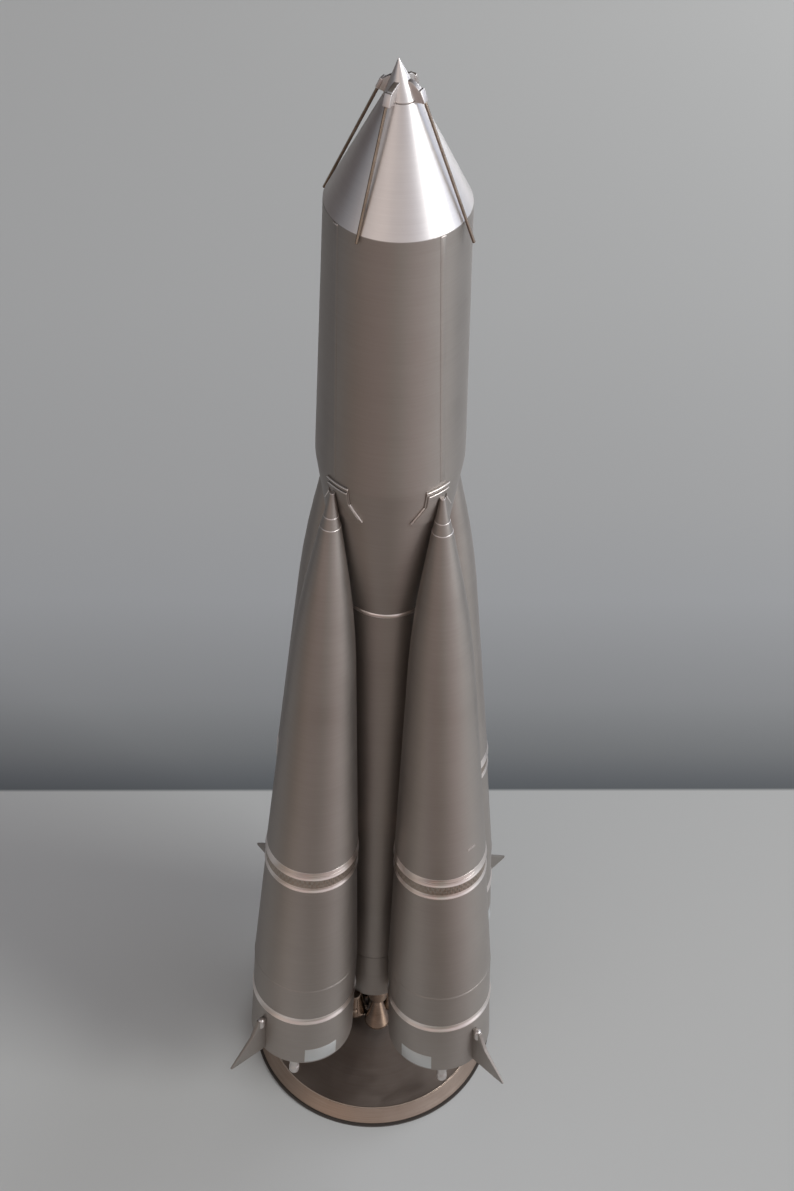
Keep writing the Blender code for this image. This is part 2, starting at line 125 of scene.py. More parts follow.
@dataclass(frozen=True)
class MetalFinish:
    """A metal surface, by its colours and by the marks that its making left.

    The marks follow the piece's own axis, which its own_place attribute holds.
    """

    name: str
    slot: str
    base: str
    shade: str
    bright: str
    roughness: float
    lay: Lay = Lay.AROUND
    mark_mm: float = 0.5
    mark_depth_mm: float = 0.002
    mark_tone: float = 0.2
    grain_mm: float = 0.6
    grain_depth_mm: float = 0.003
    cloud_mm: float = 25.0
    cloud_rough: float = 0.05
    smudge_rough: float = 0.0
    stretch: float = 0.0

    def material(self) -> bpy.types.Material:
        """Return this finish's material, built the first time that it is asked for."""
        known = bpy.data.materials.get(self.name)
        return known if known else self._build()

    def _lay_vector(self, tree: bpy.types.NodeTree, place: bpy.types.NodeSocket) -> bpy.types.NodeSocket:
        """Stretch the piece's own coordinates along its making marks.

        Args:
            tree: Material's tree.
            place: Own coordinates in metres.

        Returns:
            Coordinates that change fast across the marks and slowly along them.
        """
        fast = 1000.0 / self.mark_mm
        slow = 12.0
        if self.lay is Lay.ALONG:
            stretched = add_node(
                tree, "ShaderNodeVectorMath", {0: place, 1: (fast, fast, slow)}, operation="MULTIPLY")
            return stretched.outputs[0]
        flat = add_node(
            tree, "ShaderNodeVectorMath", {0: place, 1: (1.0, 1.0, 0.0)}, operation="MULTIPLY")
        reach = add_node(tree, "ShaderNodeVectorMath", {0: flat.outputs[0]}, operation="LENGTH")
        height = add_node(tree, "ShaderNodeSeparateXYZ", {0: place})
        across = add_node(
            tree, "ShaderNodeCombineXYZ", {"X": reach.outputs["Value"], "Z": height.outputs["Z"]})
        scaled = add_node(
            tree, "ShaderNodeVectorMath", {0: across.outputs[0], 1: (fast, fast, fast)},
            operation="MULTIPLY")
        drift = add_node(
            tree, "ShaderNodeVectorMath",
            {0: place, 1: (slow * 4.0, slow * 4.0, 0.0), 2: scaled.outputs[0]},
            operation="MULTIPLY_ADD")
        return drift.outputs[0]

    def _build(self) -> bpy.types.Material:
        """Build the node tree: cloudy tone, making marks, grain and soft handling smudges.

        Returns:
            The new material.
        """
        material = bpy.data.materials.new(self.name)
        material.use_nodes = True
        tree = material.node_tree
        shader = tree.nodes["Principled BSDF"]
        place = add_node(
            tree, "ShaderNodeAttribute", attribute_name=OWN_PLACE, attribute_type="GEOMETRY"
        ).outputs["Vector"]
        cloud = add_node(
            tree, "ShaderNodeTexNoise",
            {"Vector": place, "Scale": 1000.0 / self.cloud_mm, "Detail": 4.0, "Roughness": 0.55})
        marks = add_node(
            tree, "ShaderNodeTexNoise",
            {"Vector": self._lay_vector(tree, place), "Scale": 1.0, "Detail": 3.0, "Roughness": 0.6})
        grain = add_node(
            tree, "ShaderNodeTexNoise",
            {"Vector": place, "Scale": 1000.0 / self.grain_mm, "Detail": 2.0, "Roughness": 0.7})
        tone = add_node(
            tree, "ShaderNodeMapRange",
            {"Value": cloud.outputs["Fac"], "From Min": 0.3, "From Max": 0.7})
        body = add_node(
            tree, "ShaderNodeMix",
            {0: tone.outputs[0], 6: linear_colour(self.shade), 7: linear_colour(self.base)},
            data_type="RGBA")
        lift = add_node(
            tree, "ShaderNodeMapRange",
            {"Value": marks.outputs["Fac"], "From Min": 0.35, "From Max": 0.75, "To Max": self.mark_tone})
        colour = add_node(
            tree, "ShaderNodeMix",
            {0: lift.outputs[0], 6: body.outputs[2], 7: linear_colour(self.bright)}, data_type="RGBA")
        tree.links.new(colour.outputs[2], shader.inputs["Base Color"])
        shader.inputs["Metallic"].default_value = 1.0
        if self.stretch > 0.0:
            shader.inputs["Anisotropic"].default_value = self.stretch
            shader.inputs["Anisotropic Rotation"].default_value = 0.25
            turn = add_node(
                tree, "ShaderNodeAttribute", attribute_name=OWN_TURN, attribute_type="GEOMETRY")
            tree.links.new(turn.outputs["Vector"], shader.inputs["Tangent"])
        self._roughen(tree, shader, place, cloud, marks)
        self._dent(tree, shader, marks, grain)
        return material

    def _roughen(
            self, tree: bpy.types.NodeTree, shader: bpy.types.Node, place: bpy.types.NodeSocket,
            cloud: bpy.types.Node, marks: bpy.types.Node) -> None:
        """Vary the roughness with the clouds, the marks and soft smudges from handling.

        Args:
            tree: Material's tree.
            shader: Principled shader.
            place: Own coordinates in metres.
            cloud: Slow noise.
            marks: Fine noise along the making marks.
        """
        cloudy = add_node(
            tree, "ShaderNodeMapRange",
            {"Value": cloud.outputs["Fac"], "From Min": 0.3, "From Max": 0.7,
             "To Min": self.roughness - self.cloud_rough, "To Max": self.roughness + self.cloud_rough})
        marked = add_node(
            tree, "ShaderNodeMath",
            {0: marks.outputs["Fac"], 1: self.cloud_rough, 2: cloudy.outputs[0]},
            operation="MULTIPLY_ADD")
        smudge = add_node(
            tree, "ShaderNodeTexNoise",
            {"Vector": place, "Scale": 1000.0 / (self.cloud_mm * 0.6), "Detail": 5.0,
             "Roughness": 0.5, "Distortion": 0.8})
        patch = add_node(
            tree, "ShaderNodeMapRange",
            {"Value": smudge.outputs["Fac"], "From Min": 0.52, "From Max": 0.7,
             "To Max": self.smudge_rough}, interpolation_type="SMOOTHSTEP")
        total = add_node(
            tree, "ShaderNodeMath", {0: marked.outputs[0], 1: patch.outputs[0]}, operation="SUBTRACT")
        tree.links.new(total.outputs[0], shader.inputs["Roughness"])

    def _dent(
            self, tree: bpy.types.NodeTree, shader: bpy.types.Node,
            marks: bpy.types.Node, grain: bpy.types.Node) -> None:
        """Raise the making marks and the grain as bump.

        Args:
            tree: Material's tree.
            shader: Principled shader.
            marks: Fine noise along the making marks.
            grain: Fine even noise.
        """
        turned = add_node(
            tree, "ShaderNodeBump",
            {"Height": marks.outputs["Fac"], "Distance": self.mark_depth_mm * MM, "Strength": 1.0})
        grained = add_node(
            tree, "ShaderNodeBump",
            {"Height": grain.outputs["Fac"], "Distance": self.grain_depth_mm * MM, "Strength": 1.0,
             "Normal": turned.outputs[0]})
        tree.links.new(grained.outputs[0], shader.inputs["Normal"])


# Bead-blasted aluminium, grey with a warm tint: even satin with faint turning marks under it.
BLASTED = MetalFinish(
    name="bead_blasted_aluminium", slot="satin_body", base="A9A29C", shade="A39C96", bright="B4ADA7",
    roughness=0.5, mark_mm=0.7, mark_depth_mm=0.0012, mark_tone=0.25, grain_mm=0.55,
    grain_depth_mm=0.0035, cloud_mm=35.0, cloud_rough=0.015, smudge_rough=0.03, stretch=0.45)

# The same blasting on flat milled parts, which have no turning marks.
BLASTED_FLAT = replace(BLASTED, name="bead_blasted_flat_aluminium", mark_depth_mm=0.0, stretch=0.0)

# Fine-turned aluminium, left bright: marks of 0.1 mm drawn at 0.35 mm so that they show.
TURNED_BRIGHT = MetalFinish(
    name="fine_turned_aluminium", slot="bright_cone", base="E4DEDA", shade="D8D2CF", bright="F4F0ED",
    roughness=0.42, mark_mm=0.35, mark_depth_mm=0.0008, mark_tone=0.2, grain_mm=0.8,
    grain_depth_mm=0.003, cloud_mm=20.0, cloud_rough=0.015, stretch=0.4)

# The same aluminium on small milled parts, brighter and with no turning marks.
MILLED = MetalFinish(
    name="satin_milled_aluminium", slot="bright_cone", base="DDD6D2", shade="D0C9C5", bright="E6E0DC",
    roughness=0.4, mark_mm=1.5, mark_depth_mm=0.001, mark_tone=0.1, grain_mm=0.5,
    grain_depth_mm=0.004, cloud_mm=5.0, cloud_rough=0.03)

# Polished turned bands, which mirror the table.
POLISHED = MetalFinish(
    name="polished_aluminium", slot="polished_ring", base="F3EAE4", shade="EAE0DA", bright="FBF5F1",
    roughness=0.32, mark_mm=0.3, mark_depth_mm=0.0012, mark_tone=0.35, grain_mm=0.8,
    grain_depth_mm=0.0004, cloud_mm=12.0, cloud_rough=0.03, stretch=0.7)

# Satin aluminium sheet, left bare: neutral and paler than the body.
SMOOTH = MetalFinish(
    name="satin_aluminium_sheet", slot="satin_body", base="D6D7D6", shade="D0D2D1", bright="DEDFDE",
    roughness=0.48, mark_mm=0.5, mark_depth_mm=0.0, mark_tone=0.1, grain_mm=0.8,
    grain_depth_mm=0.001, cloud_mm=15.0, cloud_rough=0.02, stretch=0.45)

# Knurled aluminium: dull, a little darker in the valleys.
KNURLED = MetalFinish(
    name="knurled_aluminium", slot="knurled_band", base="B5A99E", shade="A2968B", bright="C8BDB3",
    roughness=0.4, mark_mm=0.4, mark_depth_mm=0.002, mark_tone=0.25, cloud_mm=6.0, cloud_rough=0.05)

# Drawn bronze wire: fine lines along it.
WIRE = MetalFinish(
    name="drawn_bronze_wire", slot="antenna_wire", base="9C8C7D", shade="76675A", bright="C8B8A6",
    roughness=0.24, lay=Lay.ALONG, mark_mm=0.2, mark_depth_mm=0.001, mark_tone=0.25, cloud_mm=6.0,
    cloud_rough=0.05)

# Polished red brass: pink-gold, darker in the clouds.
NOZZLE = MetalFinish(
    name="polished_red_brass", slot="nozzle", base="B9AB9E", shade="8C7D70", bright="E4DACF",
    roughness=0.17, mark_mm=0.4, mark_depth_mm=0.002, mark_tone=0.3, cloud_mm=8.0, cloud_rough=0.05)

# Bronze with a dark brown patina: satin, slightly cloudy.
PATINA = MetalFinish(
    name="brown_patina_bronze", slot="base_top", base="B3A59B", shade="A39389", bright="C0B4AC",
    roughness=0.45, mark_mm=0.8, mark_depth_mm=0.0012, mark_tone=0.25, grain_mm=0.7,
    grain_depth_mm=0.002, cloud_mm=22.0, cloud_rough=0.05, smudge_rough=0.05)

# Brushed bronze rim: lighter than the top, fine circular brushing.
RIM_BRONZE = MetalFinish(
    name="brushed_bronze", slot="base_top", base="A29184", shade="927F71", bright="B4A395",
    roughness=0.36, mark_mm=0.45, mark_depth_mm=0.003, mark_tone=0.4, cloud_mm=18.0, cloud_rough=0.04)

# The same bronze on the lip, lighter and smoother than the rim.
LIP_BRONZE = replace(
    RIM_BRONZE, name="polished_bronze_lip", base="CBB9AA", shade="BFAC9C", bright="D8C9BC", roughness=0.28)

# Turned steel post.
STEEL = MetalFinish(
    name="turned_steel", slot="post_steel", base="A9A6A2", shade="989592", bright="C0BDBA",
    roughness=0.28, mark_mm=0.5, mark_depth_mm=0.003, mark_tone=0.3, cloud_mm=8.0)


@dataclass(frozen=True)
class FeltFinish:
    """Pressed felt: matt fibres of 0.3 mm with a soft sheen, used for the dark sheet that paints the contact
    shadow under the base.
    """

    name: str
    slot: str
    fibre: str
    gap: str
    fibre_mm: float = 0.3

    def material(self) -> bpy.types.Material:
        """Return the felt's material, built the first time that it is asked for."""
        known = bpy.data.materials.get(self.name)
        return known if known else self._build()

    def _build(self) -> bpy.types.Material:
        """Build the node tree: two fibre tones and their relief.

        Returns:
            The new material.
        """
        material = bpy.data.materials.new(self.name)
        material.use_nodes = True
        tree = material.node_tree
        shader = tree.nodes["Principled BSDF"]
        place = add_node(
            tree, "ShaderNodeAttribute", attribute_name=OWN_PLACE, attribute_type="GEOMETRY"
        ).outputs["Vector"]
        fibres = add_node(
            tree, "ShaderNodeTexNoise",
            {"Vector": place, "Scale": 1000.0 / self.fibre_mm, "Detail": 4.0, "Distortion": 1.5})
        colour = add_node(
            tree, "ShaderNodeMix",
            {0: fibres.outputs["Fac"], 6: linear_colour(self.gap), 7: linear_colour(self.fibre)},
            data_type="RGBA")
        bump = add_node(
            tree, "ShaderNodeBump", {"Height": fibres.outputs["Fac"], "Distance": 0.08 * MM})
        tree.links.new(colour.outputs[2], shader.inputs["Base Color"])
        tree.links.new(bump.outputs[0], shader.inputs["Normal"])
        shader.inputs["Roughness"].default_value = 0.9
        shader.inputs["Sheen Weight"].default_value = 0.3
        return material


# Dark felt under the base, wider than its foot: a painted contact shadow, a soft dark line where the bronze
# meets the table.
SHADOW_FELT = FeltFinish(name="dark_felt_painted_shadow", slot="base_top", fibre="4A413A", gap="28221E")


@dataclass(frozen=True)
class TableFinish:
    """Matt pale table top that turns into a cloth backdrop beyond its slanting back edge.

    The cloth's colours are listed as (distance beyond the edge in millimetres, colour) and paint shade:
    darkest just past the edge, lighter further away.
    """

    name: str = "matt_laminate_table"
    top: str = "D3D3D1"
    edge_at: float = 113.0
    edge_slant: float = 0.066
    # Painted shade on the cloth: dark where it meets the table's edge, lighter further back.
    shaded_tones: tuple[tuple[float, str], ...] = (
        (0.0, "707477"), (6.0, "797C7F"), (22.0, "909293"), (52.0, "A9AAAB"), (115.0, "C0C1C2"),
        (185.0, "C8C8C7"), (350.0, "D1D1CF"), (670.0, "DADAD7"))
    grain_mm: float = 0.8

    def material(self) -> bpy.types.Material:
        """Build the table's material.

        Returns:
            The new material.
        """
        material = bpy.data.materials.new(self.name)
        material.use_nodes = True
        tree = material.node_tree
        shader = tree.nodes["Principled BSDF"]
        place = add_node(tree, "ShaderNodeTexCoord").outputs["Object"]
        beyond = add_node(
            tree, "ShaderNodeVectorMath", {0: place, 1: (-self.edge_slant, 1.0, 0.0)},
            operation="DOT_PRODUCT")
        reach = self.shaded_tones[-1][0]
        share = add_node(
            tree, "ShaderNodeMapRange",
            {"Value": beyond.outputs["Value"], "From Min": self.edge_at * MM,
             "From Max": (self.edge_at + reach) * MM})
        cloth = add_node(tree, "ShaderNodeValToRGB", {0: share.outputs[0]})
        stops = cloth.color_ramp.elements
        for index, (distance, code) in enumerate(self.shaded_tones):
            stop = stops[index] if index < 2 else stops.new(distance / reach)
            stop.position = distance / reach
            stop.color = linear_colour(code)
        edge = add_node(
            tree, "ShaderNodeMapRange",
            {"Value": beyond.outputs["Value"], "From Min": (self.edge_at - 1.0) * MM,
             "From Max": (self.edge_at + 1.0) * MM}, interpolation_type="SMOOTHSTEP")
        colour = add_node(
            tree, "ShaderNodeMix",
            {0: edge.outputs[0], 6: linear_colour(self.top), 7: cloth.outputs["Color"]},
            data_type="RGBA")
        tree.links.new(colour.outputs[2], shader.inputs["Base Color"])
        shader.inputs["Roughness"].default_value = 0.8
        shader.inputs["Specular IOR Level"].default_value = 0.15
        grain = add_node(
            tree, "ShaderNodeTexNoise", {"Vector": place, "Scale": 1000.0 / self.grain_mm, "Detail": 2.0})
        bump = add_node(
            tree, "ShaderNodeBump", {"Height": grain.outputs["Fac"], "Distance": 0.01 * MM, "Strength": 0.4})
        tree.links.new(bump.outputs[0], shader.inputs["Normal"])
        return material


# Mesh tools.


@dataclass(frozen=True)
class Axis:
    """Own axis of a piece: where its foot stands, how far it leans inwards and which way it faces."""

    foot: tuple[float, float] = (0.0, 0.0)
    tip: tuple[float, float] = (0.0, 1.0)
    heading: float = QUARTER

    def matrix(self) -> Matrix:
        """Place own coordinates in the rocket: +Z up the axis, +X away from the core."""
        lean = math.atan2(self.foot[0] - self.tip[0], self.tip[1] - self.foot[1])
        across, along = around(self.foot[0], self.heading)
        turn = Matrix.Rotation(self.heading - QUARTER, 4, "Z") @ Matrix.Rotation(-lean, 4, "Y")
        return Matrix.Translation((across, along, self.foot[1])) @ turn

    def length(self) -> float:
        """Length of the axis from foot to tip."""
        return math.hypot(self.foot[0] - self.tip[0], self.tip[1] - self.foot[1])


UPRIGHT = Axis()


def around(circle: float, angle: float) -> tuple[float, float]:
    """Return the X and Y of a point on a circle about the core's axis."""
    return circle * math.sin(angle), -circle * math.cos(angle)


def radius_between(low: Corner, high: Corner, height: float) -> float:
    """Return the radius at a height on the straight line between two corners."""
    return low[0] + (high[0] - low[0]) * (height - low[1]) / (high[1] - low[1])


def lathe(outline: Outline, sides: int, centre: tuple[float, float] = (0.0, 0.0)) -> bmesh.types.BMesh:
    """Turn an outline about the Z axis into a closed solid.

    Args:
        outline: Corners from the axis round to the axis again, or a closed loop off the axis.
        sides: Steps of the spin.
        centre: X and Y of the axis.

    Returns:
        A mesh in millimetres with its faces outwards.
    """
    bm = bmesh.new()
    corners = [bm.verts.new((point[0], 0.0, point[1])) for point in outline]
    for pair in zip(corners[:-1], corners[1:]):
        bm.edges.new(pair)
    for vert, point in list(zip(corners, outline))[1:-1]:
        rounding = point[2] if len(point) > 2 else EDGE_ROUNDING
        if rounding > 0.0:
            bmesh.ops.bevel(
                bm, geom=[vert], affect="VERTICES", offset=rounding, offset_type="OFFSET",
                segments=ROUNDING_STEPS, profile=0.5, material=-1, clamp_overlap=True)
    hold_corners(bm)
    bmesh.ops.spin(
        bm, geom=bm.verts[:] + bm.edges[:], cent=(0.0, 0.0, 0.0), axis=(0.0, 0.0, 1.0),
        angle=2.0 * math.pi, steps=sides, use_merge=True)
    bmesh.ops.remove_doubles(bm, verts=bm.verts[:], dist=1e-4)
    bmesh.ops.recalc_face_normals(bm, faces=bm.faces[:])
    bmesh.ops.translate(bm, verts=bm.verts[:], vec=(*centre, 0.0))
    return bm


def hold_corners(bm: bmesh.types.BMesh) -> None:
    """Split each long outline edge near both ends, so that rounding stays in the corners."""
    for edge in bm.edges[:]:
        length = edge.calc_length()
        if length < HOLD_DISTANCE * 6.0:
            continue
        near, far = edge.verts
        inner, vert = bmesh.utils.edge_split(edge, near, HOLD_DISTANCE / length)
        rest = next(e for e in vert.link_edges if far in e.verts)
        bmesh.utils.edge_split(rest, far, HOLD_DISTANCE / (length - HOLD_DISTANCE))


def plate(points: list[tuple[float, float]], thickness: float) -> bmesh.types.BMesh:
    """Make a flat plate in the X-Z plane, centred on Y.

    Args:
        points: Outline as (out, up) corners.
        thickness: Size across.

    Returns:
        A closed mesh in millimetres.
    """
    bm = bmesh.new()
    face = bm.faces.new([bm.verts.new((out, -thickness / 2.0, up)) for out, up in points])
    swept = bmesh.ops.extrude_face_region(bm, geom=[face])["geom"]
    moved = [item for item in swept if isinstance(item, bmesh.types.BMVert)]
    bmesh.ops.translate(bm, verts=moved, vec=(0.0, thickness, 0.0))
    bmesh.ops.recalc_face_normals(bm, faces=bm.faces[:])
    return bm


def block(size: tuple[float, float, float], centre: tuple[float, float, float]) -> bmesh.types.BMesh:
    """Make a box of a size, centred at a point."""
    bm = bmesh.new()
    bmesh.ops.create_cube(bm, size=1.0)
    bmesh.ops.scale(bm, vec=size, verts=bm.verts[:])
    bmesh.ops.translate(bm, vec=centre, verts=bm.verts[:])
    return bm


def soften(bm: bmesh.types.BMesh, width: float, steps: int = 2, above: float = 25.0) -> bmesh.types.BMesh:
    """Bevel every edge that is sharper than an angle.

    Args:
        bm: Closed mesh.
        width: Bevel's width in millimetres.
        steps: Bevel's segments.
        above: Smallest face angle in degrees that is bevelled.

    Returns:
        The same mesh.
    """
    sharp = [edge for edge in bm.edges if edge.is_manifold and edge.calc_face_angle() > math.radians(above)]
    bmesh.ops.bevel(
        bm, geom=sharp, affect="EDGES", offset=width, offset_type="OFFSET", segments=steps,
        profile=0.5, material=-1, clamp_overlap=True)
    return bm


def slice_form(bm: bmesh.types.BMesh, along: str, low: float, high: float, step: float) -> None:
    """Cut a form across at even steps, so that it can bend.

    Args:
        bm: Closed mesh.
        along: "x" or "z", the direction of the steps.
        low: Where the cuts start.
        high: Where they end.
        step: Distance between cuts.
    """
    normal = Vector((1.0, 0.0, 0.0)) if along == "x" else Vector((0.0, 0.0, 1.0))
    for index in range(1, int((high - low) / step)):
        place = normal * (low + index * step)
        bmesh.ops.bisect_plane(
            bm, geom=bm.verts[:] + bm.edges[:] + bm.faces[:], plane_co=place, plane_no=normal)


def join(parts: list[bmesh.types.BMesh]) -> bmesh.types.BMesh:
    """Gather several meshes in one, freeing them."""
    whole = bmesh.new()
    for part in parts:
        mesh = bpy.data.meshes.new("part")
        part.to_mesh(mesh)
        part.free()
        whole.from_mesh(mesh)
        bpy.data.meshes.remove(mesh)
    return whole


def finish_piece(
        name: str, bm: bmesh.types.BMesh, finish: MetalFinish | FeltFinish,
        stands_for: tuple[str, ...] = (), axis: Axis = UPRIGHT) -> bpy.types.Object:
    """Turn a mesh into a finished piece that rides on the rocket.

    Args:
        name: Piece's name.
        bm: Mesh in millimetres in the piece's own axes, freed here.
        finish: Its metal.
        stands_for: CAD nodes that it replaces.
        axis: Where its own axes stand.

    Returns:
        The piece.
    """
    mesh = bpy.data.meshes.new(name)
    bmesh.ops.scale(bm, vec=(MM, MM, MM), verts=bm.verts[:])
    bm.to_mesh(mesh)
    bm.free()
    matrix = axis.matrix() if axis is not UPRIGHT else Matrix.Identity(4)
    matrix.translation = matrix.translation * MM
    places = np.zeros(len(mesh.vertices) * 3, np.float32)
    mesh.vertices.foreach_get("co", places)
    own = mesh.attributes.new(OWN_PLACE, "FLOAT_VECTOR", "POINT")
    own.data.foreach_set("vector", places)
    places = places.reshape(-1, 3)
    turns = np.stack([-places[:, 1], places[:, 0], np.zeros(len(places), np.float32)], axis=1)
    reach = np.linalg.norm(turns, axis=1, keepdims=True)
    turns = np.where(reach > 1e-7, turns / np.maximum(reach, 1e-7), (1.0, 0.0, 0.0))
    turns = (turns @ np.array(matrix.to_3x3()).T).astype(np.float32)
    turned = mesh.attributes.new(OWN_TURN, "FLOAT_VECTOR", "POINT")
    turned.data.foreach_set("vector", turns.ravel())
    mesh.transform(matrix)
    mesh.materials.append(finish.material())
    mesh.shade_smooth()
    mesh.set_sharp_from_angle(angle=math.radians(35.0))
    piece = bpy.data.objects.new(name, mesh)
    bpy.context.scene.collection.objects.link(piece)
    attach(piece, "root")
    if stands_for:
        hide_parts(*stands_for)
    LOG.info("%s: %d faces in %s", name, len(mesh.polygons), finish.name)
    return piece


# Sub-assemblies.


@dataclass(frozen=True)
class Stand:
    """Round bronze base with its sunk dark top, and the thin post that carries the rocket."""

    foot_radius: float = 45.4
    foot_chamfer: float = 0.2
    shadow_felt_height: float = 0.8
    shadow_felt_border: float = 1.0
    edge_height: float = 1.3
    lip_outer: float = 41.9
    lip_inner: float = 41.45
    lip_depth: float = 0.5
    height: float = 6.8
    sunk: float = 0.5
    post_radius: float = 2.1
    post_top: float = 39.2
    collar_radius: float = 4.6
    collar_height: float = 3.0

    def build(self) -> None:
        """Build the dark felt that paints the contact shadow, the rim, the lip, the sunk top and the post.
        """
        self.build_shadow_felt()
        self.build_rim()
        self.build_lip()
        self.build_top()
        self.build_post()

    def build_shadow_felt(self) -> None:
        """Turn the thin dark felt disc that the base stands on, reaching past its foot to paint the contact
        shadow round it.
        """
        radius = self.foot_radius + self.shadow_felt_border
        outline: Outline = [
            (0.0, 0.0), (radius, 0.0, 0.1), (radius, self.shadow_felt_height, 0.1), (0.0, self.shadow_felt_height)]
        finish_piece("base_shadow_felt_disc", lathe(outline, CORE_SIDES), SHADOW_FELT)

    def build_rim(self) -> None:
        """Turn the base's body with its sloping rim."""
        slope_out = self.foot_radius - self.lip_outer
        outline: Outline = [
            (0.0, self.shadow_felt_height),
            (self.foot_radius - self.foot_chamfer, self.shadow_felt_height, 0.1),
            (self.foot_radius, self.shadow_felt_height + self.foot_chamfer, 0.1),
            (self.foot_radius, self.edge_height, 0.15),
            (self.lip_outer + slope_out * 0.42, self.height * 0.62, 0.9),
            (self.lip_outer + 0.1, self.height - self.lip_depth, 0.1),
            (self.lip_outer - 0.2, self.height - self.lip_depth - 0.05, 0.0),
            (self.lip_inner - 1.0, self.height - self.sunk - 0.4, 0.0),
            (0.0, self.height - self.sunk - 0.4),
        ]
        finish_piece("base_rim", lathe(outline, CORE_SIDES), RIM_BRONZE, ("stand_base",))

    def build_lip(self) -> None:
        """Turn the narrow bright lip that frames the sunk top."""
        foot = self.height - self.lip_depth - 0.4
        outline: Outline = [
            (self.lip_inner, foot),
            (self.lip_outer, foot, 0.0),
            (self.lip_outer, self.height - self.lip_depth + 0.05, 0.04),
            (self.lip_outer - 0.14, self.height, 0.08),
            (self.lip_inner, self.height, 0.08),
            (self.lip_inner, foot),
        ]
        finish_piece("base_lip", lathe(outline, CORE_SIDES), LIP_BRONZE)

    def build_top(self) -> None:
        """Turn the dark disc that is let into the base's top."""
        top = self.height - self.sunk
        radius = self.lip_inner - 0.05
        outline: Outline = [
            (0.0, top - 0.35),
            (radius, top - 0.35, 0.0),
            (radius, top, 0.08),
            (0.0, top),
        ]
        finish_piece("base_top_disc", lathe(outline, CORE_SIDES), PATINA)

    def build_post(self) -> None:
        """Turn the post with its collar."""
        foot = self.height - self.sunk
        outline: Outline = [
            (0.0, foot),
            (self.collar_radius, foot, 0.1),
            (self.collar_radius, foot + self.collar_height * 0.7, 0.5),
            (self.post_radius + 0.6, foot + self.collar_height, 0.4),
            (self.post_radius, foot + self.collar_height + 0.6, 0.4),
            (self.post_radius, self.post_top, 0.1),
            (0.0, self.post_top),
        ]
        finish_piece("post_and_collar", lathe(outline, BELL_SIDES), STEEL, ("stand_post",))


